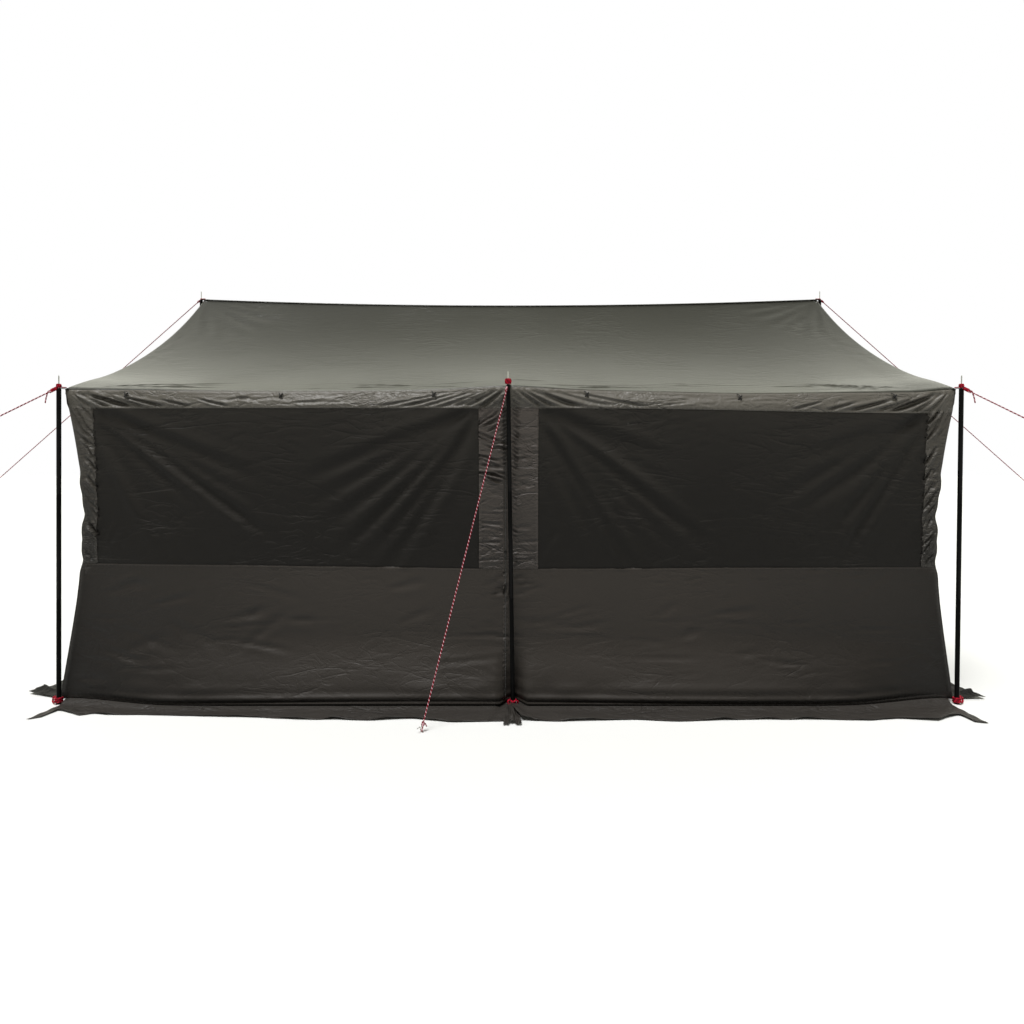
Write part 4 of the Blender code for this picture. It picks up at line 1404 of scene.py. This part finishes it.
def rounded(points, count):
    """A smooth path through the points, count places to a stretch."""
    points = [np.array(point, dtype=float) for point in points]
    padded = [2 * points[0] - points[1], *points, 2 * points[-1] - points[-2]]
    path = []
    for a, b, c, d in zip(padded, padded[1:], padded[2:], padded[3:]):
        for t in np.arange(count) / count:
            bend = (2 * a - 5 * b + 4 * c - d) * t**2 + (3 * b - a - 3 * c + d) * t**3
            path.append(0.5 * (2 * b + (c - a) * t + bend))
    path.append(points[-1])
    return path


def arc(centre, radius, ahead, side, angles):
    """Places on a circle at angles in degrees, from ahead towards side."""
    return [centre + radius * (ahead * math.cos(a) + side * math.sin(a)) for a in np.radians(angles)]


def knot(anchor, line, side, radius, reach, tail_way, tail):
    """A loop about a bar, closed at reach by its end wound round the cord: line points along the cord."""
    up = np.cross(line, side)
    waist = anchor + line * reach * 0.6
    path = [anchor + line * (reach + 0.023), anchor + line * (reach + 0.007), waist + side * 0.0034]
    path += arc(anchor, radius + 0.0032, line, side, np.linspace(35, 325, 9))
    path.append(waist - side * 0.0034)
    for i in range(19):
        turn = i * math.tau / 6 + 2
        spot = anchor + line * (reach + 0.0009 * i)
        path.append(spot + 0.0052 * (side * math.cos(turn) + up * math.sin(turn)))
    end = path[-1]
    for share in (0.25, 0.5, 0.75, 1.0):
        fall = np.array([0, 0, -0.9 * share])
        path.append(end + tail * (tail_way * share * (1 - 0.35 * share) + fall))
    return path


def make_guyline(name, pole_xy, peg_xy, tab_z):
    """A taut cord, knotted round the spike and round its peg."""
    sizes = bpy.context.scene.tent_sizes
    top = np.array([*pole_xy, tab_z + TAB_THICKNESS + GAP + LOOP_CORD_RADIUS])
    low = np.array([*peg_xy, PEG_LOOP_Z])
    line = (low - top) / np.linalg.norm(low - top)
    away = np.array([line[0], line[1], 0]) / math.hypot(line[0], line[1])
    side = np.cross((0, 0, 1.0), away)
    at_corner = "centre" not in name and "ridge" not in name
    reach, tail = (0.034, sizes.tail) if at_corner else (0.018, 0.012)
    upper = rounded(knot(top, line, side, SPIKE_RADIUS, reach, away * 0.3 + side * 0.1, tail), 3)
    peg_way = np.array([*(-away[:2]), 0.15])
    lower = rounded(knot(low, -line, -side, PEG_RADIUS, 0.018, peg_way, 0.03), 3)
    straight = [upper[0] + (lower[0] - upper[0]) * share for share in np.linspace(0, 1, 41)[1:-1]]
    path = upper[::-1] + straight + lower
    tube(name + "_guyline_cord", path, sizes.cord, "cord", [name + "_guyline"])


def make_ball(name, centre, size):
    """A round knot about a spike: a cord that winds round it and over itself."""
    around = np.linspace(0, 4 * math.tau, 190)
    over = around * 9 / 4
    reach = (0.0098 + 0.0036 * np.cos(over)) * size
    path = np.stack([reach * np.cos(around), reach * np.sin(around), 0.0105 * size * np.sin(over)], axis=-1)
    tube(name, path + np.array(centre), KNOT_CORD_RADIUS, "knot")


def make_hitch(name, spike, peg_xy):
    """The cord wound round a corner's guyline, between its spike and its knot."""
    start = np.array(spike)
    line = np.array([*peg_xy, PEG_LOOP_Z]) - start
    line /= np.linalg.norm(line)
    side = np.cross((0, 0, 1.0), line)
    side /= np.linalg.norm(side)
    turns = np.linspace(0, 5 * math.tau, 80)
    around = np.outer(np.cos(turns), side) + np.outer(np.sin(turns), np.cross(line, side))
    path = start + np.outer(0.011 + 0.0056 * turns / math.tau, line) + 0.0064 * around
    tube(name, path, KNOT_CORD_RADIUS, "knot")


def make_tie(name, spike, inner):
    """A doubled cord from the corner of the cloth round a spike."""
    spike, inner = np.array(spike), np.array(inner)
    way = (inner - spike) / np.linalg.norm(inner - spike)
    side = np.cross((0, 0, 1.0), way)
    middle = inner * 0.5 + spike * 0.5
    path = [inner + side * 0.002, middle + side * 0.003]
    path += arc(spike, 0.0058, way, side, np.linspace(50, 310, 8))
    path += [middle - side * 0.003, inner - side * 0.002]
    tube(name, rounded(path, 3), LOOP_CORD_RADIUS, "knot")


def make_wrap(name, pole_xy, way):
    """The cord that ties the wall's corner to a pole's foot: three turns and a loop on the outer side."""
    turns = np.linspace(0, 3 * math.tau, 50)
    coil = np.stack([0.0162 * np.cos(turns), 0.0162 * np.sin(turns), 0.008 + 0.0014 * turns], axis=-1)
    loop = (
        (0.022, 0.004, 0.038), (0.03, 0.004, 0.031), (0.031, 0.0, 0.016),
        (0.025, -0.004, 0.007), (0.018, -0.009, 0.012), (0.006, -0.02, 0.02),
    )
    path = np.concatenate([coil, np.array(rounded(loop, 4))]) * (way, 1, 1)
    tube(name, path + np.array([*pole_xy, 0]), 0.0044, "knot")


def make_bow(name, pole_xy, out):
    """The cord that ties the wall's hem to a pole's foot, with a loop to each side."""
    side = np.cross((0, 0, 1.0), out)
    turns = np.linspace(0, math.tau, 49)[:-1]
    loops = np.outer(0.026 * np.sin(turns), side) + np.outer(0.019 + 0.004 * np.cos(turns), out)
    loops[:, 2] = 0.016 + 0.008 * np.sin(2 * turns)
    turns = np.linspace(0.4, math.tau - 0.4, 20)
    ring = 0.0168 * (np.outer(np.sin(turns), side) + np.outer(np.cos(turns), out))
    ring[:, 2] = 0.02
    tube(name, np.concatenate([ring, loops]) + np.array([*pole_xy, 0]), 0.0042, "knot")


def settle(made, finish, nodes=()):
    """Applies a new piece's place, smooths it, and binds it."""
    bpy.ops.object.select_all(action="DESELECT")
    made.select_set(True)
    bpy.context.view_layer.objects.active = made
    bpy.ops.object.transform_apply(location=True, rotation=True, scale=True)
    bpy.ops.object.shade_smooth_by_angle(angle=math.radians(38))
    bind(made, finish, nodes)


def block(name, size, place, edge, segments):
    """A small block with bevelled edges."""
    bpy.ops.object.select_all(action="DESELECT")
    bpy.ops.mesh.primitive_cube_add(size=1, location=place)
    made = bpy.context.object
    made.name = made.data.name = name
    bpy.ops.object.mode_set(mode="EDIT")
    bpy.ops.mesh.select_all(action="SELECT")
    bpy.ops.transform.resize(value=size, center_override=place)
    bpy.ops.mesh.bevel(offset=edge, segments=segments)
    bpy.ops.object.mode_set(mode="OBJECT")
    return made


def lathe(name, centre, profile, sides, finish, nodes=(), lean=0.0, tilt=(0, 0, 0)):
    """A round body drawn up ring by ring, from pairs of radius and height, leaning in X or tilted."""
    bpy.ops.object.select_all(action="DESELECT")
    radius, height = profile[0]
    base = (centre[0] + lean * height, centre[1], centre[2] + height)
    bpy.ops.mesh.primitive_circle_add(vertices=sides, radius=radius, fill_type="NGON", location=base)
    made = bpy.context.object
    made.name = made.data.name = name
    bpy.ops.object.mode_set(mode="EDIT")
    bpy.ops.mesh.select_all(action="SELECT")
    for next_radius, next_height in profile[1:]:
        rise = next_height - height
        bpy.ops.mesh.extrude_region_move(TRANSFORM_OT_translate={"value": (lean * rise, 0, rise)})
        factor = next_radius / radius
        at = (centre[0] + lean * next_height, centre[1], centre[2] + next_height)
        bpy.ops.transform.resize(value=(factor, factor, 1), center_override=at)
        radius, height = next_radius, next_height
    bpy.ops.mesh.select_all(action="SELECT")
    bpy.ops.mesh.normals_make_consistent(inside=False)
    bpy.ops.object.mode_set(mode="OBJECT")
    made.rotation_euler = tilt
    settle(made, finish, nodes)
    return made


def make_zip_tape(wall):
    """The tape that carries the zip."""
    zs = np.linspace(ZIP_FOOT_Z, WINDOW_TOP_Z - 0.006, 240)
    xs = np.linspace(ZIP_X - ZIP_WIDTH / 2, ZIP_X + ZIP_WIDTH / 2, 7)
    z, x = np.meshgrid(zs, xs, indexing="ij")
    cut = (ZIP_WIDTH, float(np.ptp(z)))
    wall.panel(wall.side + "_zip_tape", x, z, "lower", "lower_wall_cloth", None, PROUD + 0.0009, cut)


def make_zip_coil(wall):
    """The zip's teeth: one modelled, and copied up the tape."""
    tooth = block("tooth", ZIP_TOOTH, (0, 0, 0), 0.0007, 1)
    corners = np.array([vertex.co[:] for vertex in tooth.data.vertices])
    faces = [list(face.vertices) for face in tooth.data.polygons]
    bpy.data.objects.remove(tooth)
    heights = np.arange(ZIP_FOOT_Z + 0.004, WINDOW_TOP_Z - 0.01, ZIP_TOOTH_PITCH)
    spots = wall_points("long", np.full_like(heights, ZIP_X), heights, PROUD + 0.0019)
    verts = half_turn((corners[None] + spots[:, None]).reshape(-1, 3), wall.turn)
    quads = [[i * len(corners) + corner for corner in face] for i in range(len(heights)) for face in faces]
    settle(mesh_piece(wall.side + "_zip_coil", verts.tolist(), quads), "coil")


def make_zip_slider(wall):
    """The zip's slider, with a doubled cord as its pull."""
    place = wall_points("long", np.array(ZIP_X), np.array(ZIP_SLIDER_Z), PROUD + 0.002)
    place = half_turn(place, wall.turn)
    settle(block(wall.side + "_zip_slider", ZIP_SLIDER, place, 0.0014, 2), "tube")
    down = ((0, 0.003, 0.004), (0, 0.0075, 0.001), (-0.0035, 0.007, -0.012), (-0.004, 0.0065, -0.026))
    back = ((0, 0.006, -0.031), (0.004, 0.0065, -0.026), (0.0035, 0.007, -0.012), (0.0005, 0.0075, -0.001))
    path = [place + half_turn(np.array([x, -y, z]), wall.turn) for x, y, z in down + back]
    tube(wall.side + "_zip_pull", rounded(path, 4), 0.0016, "strap")


def make_toggle(name, x, turn):
    """A nylon toggle on a short cord, which holds the wall when it is rolled up."""
    place = eave_profile(np.array([x]))[0][0] + np.array([0, -0.006, -0.004])
    half = [(0.0018, 0), (0.003, 0.0012), (0.0038, 0.004), (0.0038, 0.011), (0.0028, 0.014)]
    profile = half + [(radius, 0.032 - height) for radius, height in half[::-1]]
    slope = math.radians(40)
    start = half_turn(place, turn) - 0.016 * np.array([math.sin(slope), 0, math.cos(slope)])
    lathe(name + "_toggle", start, profile, 16, "nylon", tilt=(0, slope, 0))
    loop = (
        (-0.009, 0.005, 0.013), (-0.004, -0.003, 0.008), (0.0, -0.0055, 0.0), (0.003, 0.0, -0.004),
        (0.0, 0.005, -0.002), (-0.004, -0.001, 0.003), (-0.001, -0.006, -0.003), (0.006, -0.002, -0.01),
        (0.009, 0.001, -0.017), (0.012, 0.002, -0.024),
    )
    path = [half_turn(place + 1.5 * np.array(step), turn) for step in loop]
    tube(name + "_toggle_cord", rounded(path, 4), 0.002, "strap")


def pole_profile(top):
    """A pole's radius and height pairs: a wider foot, a tube with two joints, and the spike."""
    profile = [(0.0112, 0.0), (0.0124, 0.0015), (0.0124, 0.03), (POLE_RADIUS, 0.032)]
    for joint in (top / 3, 2 * top / 3):
        profile += [(POLE_RADIUS, joint - 0.002), (GROOVE_RADIUS, joint - 0.001)]
        profile += [(GROOVE_RADIUS, joint + 0.001), (POLE_RADIUS, joint + 0.002)]
    profile += [(POLE_RADIUS, top - 0.0015), (POLE_RADIUS - 0.0015, top), (SPIKE_RADIUS, top)]
    tip = top + SPIKE_LENGTH
    profile += [(SPIKE_RADIUS, tip - 0.008), (SPIKE_RADIUS * 0.75, tip - 0.003), (SPIKE_RADIUS * 0.3, tip)]
    return profile


def make_pole(name, x, y, tab_z, foot_x, top_x):
    """A tube of three sections with a wider foot in the tube's powder coat and a steel spike, set up a little
    out of plumb.
    """
    top = tab_z - GAP
    lean = (top_x - foot_x) / top
    foot = (x + foot_x, y, 0)
    made = lathe(name + "_tube", foot, pole_profile(top), 28, "tube", [name], lean=lean)
    made.data.materials.append(finish_of("steel"))
    for face in made.data.polygons:
        spot = face.center
        on_spike = math.hypot(spot.x - x - top_x, spot.y - y) < SPIKE_RADIUS * 1.6
        if on_spike and spot.z > top - 0.0005:
            face.material_index = 1


def make_peg(name, peg_xy, pole_xy):
    """A steel pin with its head bent away from the tent, drawn up and spun over."""
    away = Vector((peg_xy[0] - pole_xy[0], peg_xy[1] - pole_xy[1], 0)).normalized()
    height, bend_radius = 0.034, 0.009
    foot = Vector((*peg_xy, 0))
    bpy.ops.object.select_all(action="DESELECT")
    bpy.ops.mesh.primitive_circle_add(vertices=14, radius=PEG_RADIUS, fill_type="NGON", location=foot)
    made = bpy.context.object
    made.name = made.data.name = name + "_peg_pin"
    bpy.ops.object.mode_set(mode="EDIT")
    bpy.ops.mesh.select_all(action="SELECT")
    bpy.ops.mesh.extrude_region_move(TRANSFORM_OT_translate={"value": UP * height})
    bend = foot + UP * height + away * bend_radius
    bpy.ops.mesh.spin(steps=8, angle=math.radians(115), center=bend, axis=UP.cross(away))
    bpy.ops.mesh.extrude_region_move(TRANSFORM_OT_translate={"value": away * 0.009 + UP * -0.004})
    bpy.ops.mesh.select_all(action="SELECT")
    bpy.ops.mesh.remove_doubles(threshold=0.0001)
    bpy.ops.mesh.normals_make_consistent(inside=False)
    bpy.ops.object.mode_set(mode="OBJECT")
    settle(made, "steel", [name + "_peg"])


def make_tab(name, start, spike, half_width_of_strap):
    """A webbing strap from the cloth to the spike, round at its end."""
    ahead = spike - start
    reach = np.linalg.norm(ahead)
    ahead /= reach
    side = np.cross((0, 0, 1.0), ahead)
    end = reach + 0.0118 * np.sin(np.linspace(0, math.pi / 2, 7))[1:]
    rows = []
    for length in np.concatenate([np.linspace(0, reach, 7), end]):
        over = max(length - reach, 0) / 0.0119
        half = half_width_of_strap * math.sqrt(max(1 - over * over, 0.02))
        rows.append([start + ahead * length + side * half * share for share in np.linspace(-1, 1, 9)])
    points = np.array(rows)
    index = np.arange(points.shape[0] * points.shape[1]).reshape(points.shape[:2])
    made = mesh_piece(name, points.reshape(-1, 3).tolist(), grid_faces(index).tolist())
    bpy.ops.object.select_all(action="DESELECT")
    made.select_set(True)
    bpy.context.view_layer.objects.active = made
    thick = made.modifiers.new("thick", "SOLIDIFY")
    thick.thickness, thick.offset = 0.0028, 0
    bevel = made.modifiers.new("edge", "BEVEL")
    bevel.width, bevel.segments, bevel.limit_method = 0.0006, 2, "ANGLE"
    for modifier in ("thick", "edge"):
        bpy.ops.object.modifier_apply(modifier=modifier)
    settle(made, "strap")


def make_eyelet(name, spike):
    """A steel ring in a tab, round the spike."""
    ring = [(0.0036, 0.0008), (0.0075, 0.0008), (0.0078, 0.0014)]
    ring += [(0.0068, 0.0026), (0.0048, 0.0026), (0.0036, 0.0016)]
    lathe(name, spike + np.array([0, 0, 0.0008]), ring, 20, "steel")


def pole_places():
    """Each pole's name, place, peg and tab height, and how far its foot and its top stand off in X."""
    places = []
    for y_name, y_side in (("front", -1), ("back", 1)):
        for x_name, x_side in (("left", -1), ("right", 1)):
            x, y = x_side * CORNER_POLE[0], y_side * CORNER_POLE[1]
            peg = (x + x_side * CORNER_REACH, y + y_side * CORNER_REACH)
            shifts = [x_side * value for value in LEANING_POLE] if x_side * y_side == -1 else (0.0, 0.0)
            places.append((f"{y_name}_{x_name}", (x, y), peg, EAVE_TAB_Z, *shifts))
        peg = (-y_side * MIDDLE_PEG[0], y_side * MIDDLE_PEG[1])
        shifts = [-y_side * value for value in MIDDLE_LEAN]
        places.append((y_name + "_centre", (0, y_side * MIDDLE_POLE_Y), peg, MIDDLE_TAB_Z, *shifts))
    for x_name, x_side in (("left", -1), ("right", 1)):
        place, peg = (x_side * RIDGE_POLE_X, 0), (x_side * RIDGE_PEG_X, 0)
        places.append((x_name + "_ridge", place, peg, RIDGE_TAB_Z, 0.0, 0.0))
    return places


def make_floor():
    """A pale, matt floor."""
    bpy.ops.object.select_all(action="DESELECT")
    bpy.ops.mesh.primitive_plane_add(size=80, location=(0, 0, 0))
    floor = bpy.context.object
    floor.name = "floor"
    material, tree, surface = surface_of("white vinyl floor")
    fill(tree, surface, {"Base Color": linear("#ebebe9"), "Roughness": 0.9})
    floor.data.materials.append(material)


def make_world(scene):
    """A soft world, darker overhead and behind the tent, which the camera sees as a plain white backdrop."""
    world = bpy.data.worlds.new("studio")
    scene.world = world
    world.use_nodes = True
    tree = world.node_tree
    soft = tree.nodes["Background"]
    way = add(tree, "TexCoord", out="Generated")
    behind, height = add(tree, "SeparateXYZ", (way,)).node.outputs[1:]
    high = add(tree, "MapRange", (height, 0.5, 0.88, 1.1, 0.1))
    back = add(tree, "MapRange", (behind, -0.5, 0.3, 0.12, 1.0))
    strength = add(tree, "Math", (high, back), operation="MULTIPLY")
    fill(tree, soft, {"Color": (1.12, 1.12, 0.98, 1), "Strength": strength})
    plain = add(tree, "Background", {"Color": (1, 1, 1, 1), "Strength": 1.0})
    seen = add(tree, "LightPath", out="Is Camera Ray")
    mixed = add(tree, "MixShader", (seen, soft.outputs[0], plain))
    tree.links.new(mixed, tree.nodes["World Output"].inputs["Surface"])


def make_light(scene):
    """A broad soft light from overhead, a little to the front and left."""
    key = bpy.data.lights.new("overhead bounce", "SUN")
    key.energy, key.angle = 3.6, math.radians(30)
    hung = bpy.data.objects.new("overhead bounce", key)
    hung.location, hung.rotation_euler = (0, -2, 8), (math.radians(18), math.radians(-10), 0)
    scene.collection.objects.link(hung)


def make_camera(scene):
    """The camera, level in front of the middle pole."""
    lens = bpy.data.cameras.new("camera")
    lens.lens, lens.sensor_width = 22.06, 36
    lens.shift_x, lens.shift_y = 0.00146, -0.0527
    lens.clip_end = 200
    camera = bpy.data.objects.new("camera", lens)
    camera.location = (0, -4.79, 1.265)
    camera.rotation_euler = (math.pi / 2, 0, 0)
    scene.collection.objects.link(camera)
    scene.camera = camera
    scene.view_settings.view_transform = "Standard"


class TENT_OT_roof(Operator):
    """Both halves of the roof and the tape along the ridge"""

    bl_idname = "tent.roof"
    bl_label = "Roof"

    def execute(self, context):
        for wall in LONG_WALLS:
            make_roof(wall)
        make_ridge_tape()
        return {"FINISHED"}


class TENT_OT_walls(Operator):
    """The panels of the four walls"""

    bl_idname = "tent.walls"
    bl_label = "Walls"

    def execute(self, context):
        for wall in LONG_WALLS:
            make_long_wall(wall)
        for wall in END_WALLS:
            make_end_wall(wall)
        return {"FINISHED"}


class TENT_OT_skirts(Operator):
    """The eight ground skirts and their bunched ends"""

    bl_idname = "tent.skirts"
    bl_label = "Ground skirts"

    def execute(self, context):
        for x_name, x_side in (("left", -1), ("right", 1)):
            for y_name, y_side in (("front", -1), ("back", 1)):
                make_skirt(f"{y_name}_{x_name}_skirt", "long", x_side, y_side)
                make_skirt(f"{x_name}_{y_name}_skirt", "end", x_side, y_side)
        for wall in LONG_WALLS:
            make_bunch(wall)
        return {"FINISHED"}


class TENT_OT_poles(Operator):
    """The eight poles with their spikes"""

    bl_idname = "tent.poles"
    bl_label = "Poles"

    def execute(self, context):
        for name, (x, y), _, tab_z, foot_x, top_x in pole_places():
            make_pole(name + "_pole", x, y, tab_z, foot_x, top_x)
        return {"FINISHED"}


class TENT_OT_tabs(Operator):
    """The webbing tabs with their eyelets"""

    bl_idname = "tent.tabs"
    bl_label = "Tabs"

    def execute(self, context):
        for name, (x, y), _, tab_z, _, top_x in pole_places():
            z = tab_z + TAB_THICKNESS / 2
            if "ridge" in name:
                start = (math.copysign(RIDGE_HALF_LENGTH - 0.03, x), 0, z + 0.002)
            else:
                start_x = x * (EAVE_HALF_LENGTH - 0.012) / CORNER_POLE[0]
                start = (start_x, math.copysign(EAVE_HALF_WIDTH - 0.012, y), z + 0.001)
            spike = np.array([x + top_x, y, z])
            make_tab(name + "_tab", np.array(start), spike, 0.006)
            make_eyelet(name + "_tab_eyelet", spike)
        return {"FINISHED"}


class TENT_OT_fittings(Operator):
    """The zips beside the middle poles and the toggles under the eave"""

    bl_idname = "tent.fittings"
    bl_label = "Zips and toggles"

    def execute(self, context):
        for wall in LONG_WALLS:
            make_zip_tape(wall)
            make_zip_coil(wall)
            make_zip_slider(wall)
            for number, x in enumerate(TOGGLE_XS, 1):
                make_toggle(f"{wall.side}_{number}", x, wall.turn)
        return {"FINISHED"}


class TENT_OT_guylines(Operator):
    """The eight guylines with their knots, and the ties at the poles' tops and feet"""

    bl_idname = "tent.guylines"
    bl_label = "Guylines"

    def execute(self, context):
        for name, (x, y), peg_xy, tab_z, foot_x, top_x in pole_places():
            spike, foot = (x + top_x, y), (x + foot_x, y)
            knot_z = tab_z + TAB_THICKNESS + 0.0045
            make_guyline(name, spike, peg_xy, tab_z)
            if y:
                size = 1.1 if "centre" in name else 0.72
                make_ball(name + "_knot", (*spike, knot_z + 0.009 * size), size)
            if x and y:
                inner = (x - math.copysign(0.012, x), y - math.copysign(0.034, y), knot_z + 0.001)
                make_tie(name + "_tie", (*spike, knot_z), inner)
                make_hitch(name + "_hitch", (*spike, knot_z), peg_xy)
                make_wrap(name + "_wrap", foot, math.copysign(1, x))
            elif y:
                make_bow(name + "_bow", foot, np.array([0.0, math.copysign(1, y), 0.0]))
            else:
                make_tie(name + "_tie", (*spike, knot_z), (x - math.copysign(0.03, x), 0.0, knot_z + 0.001))
                make_bow(name + "_bow", foot, np.array([math.copysign(1, x), 0.0, 0.0]))
        return {"FINISHED"}


class TENT_OT_pegs(Operator):
    """The eight pegs"""

    bl_idname = "tent.pegs"
    bl_label = "Pegs"

    def execute(self, context):
        for name, pole_xy, peg_xy, *_ in pole_places():
            make_peg(name, peg_xy, pole_xy)
        return {"FINISHED"}


class TENT_OT_stage(Operator):
    """The pale floor, the soft light and the camera"""

    bl_idname = "tent.stage"
    bl_label = "Stage"

    def execute(self, context):
        make_floor()
        make_world(context.scene)
        make_light(context.scene)
        make_camera(context.scene)
        return {"FINISHED"}


class TENT_PT_panel(Panel):
    """Lists the sizes, the colours and the steps"""

    bl_label = "Family tent"
    bl_space_type = "VIEW_3D"
    bl_region_type = "UI"
    bl_category = "Tent"

    def draw(self, context):
        for group in (context.scene.tent_sizes, context.scene.tent_colours):
            box = self.layout.box()
            for name in group.__annotations__:
                box.prop(group, name)
        for step in STEPS:
            self.layout.operator(step.bl_idname)


STEPS = (
    TENT_OT_roof,
    TENT_OT_walls,
    TENT_OT_skirts,
    TENT_OT_poles,
    TENT_OT_tabs,
    TENT_OT_fittings,
    TENT_OT_guylines,
    TENT_OT_pegs,
    TENT_OT_stage,
)
CLASSES = (TentSizes, TentColours, *STEPS, TENT_PT_panel)


def register():
    for cls in CLASSES:
        bpy.utils.register_class(cls)
    bpy.types.Scene.tent_sizes = PointerProperty(type=TentSizes)
    bpy.types.Scene.tent_colours = PointerProperty(type=TentColours)


def unregister():
    del bpy.types.Scene.tent_colours
    del bpy.types.Scene.tent_sizes
    for cls in reversed(CLASSES):
        bpy.utils.unregister_class(cls)


def main():
    register()
    for step in STEPS:
        family, action = step.bl_idname.split(".")
        getattr(getattr(bpy.ops, family), action)()


if __name__ == "__main__":
    main()
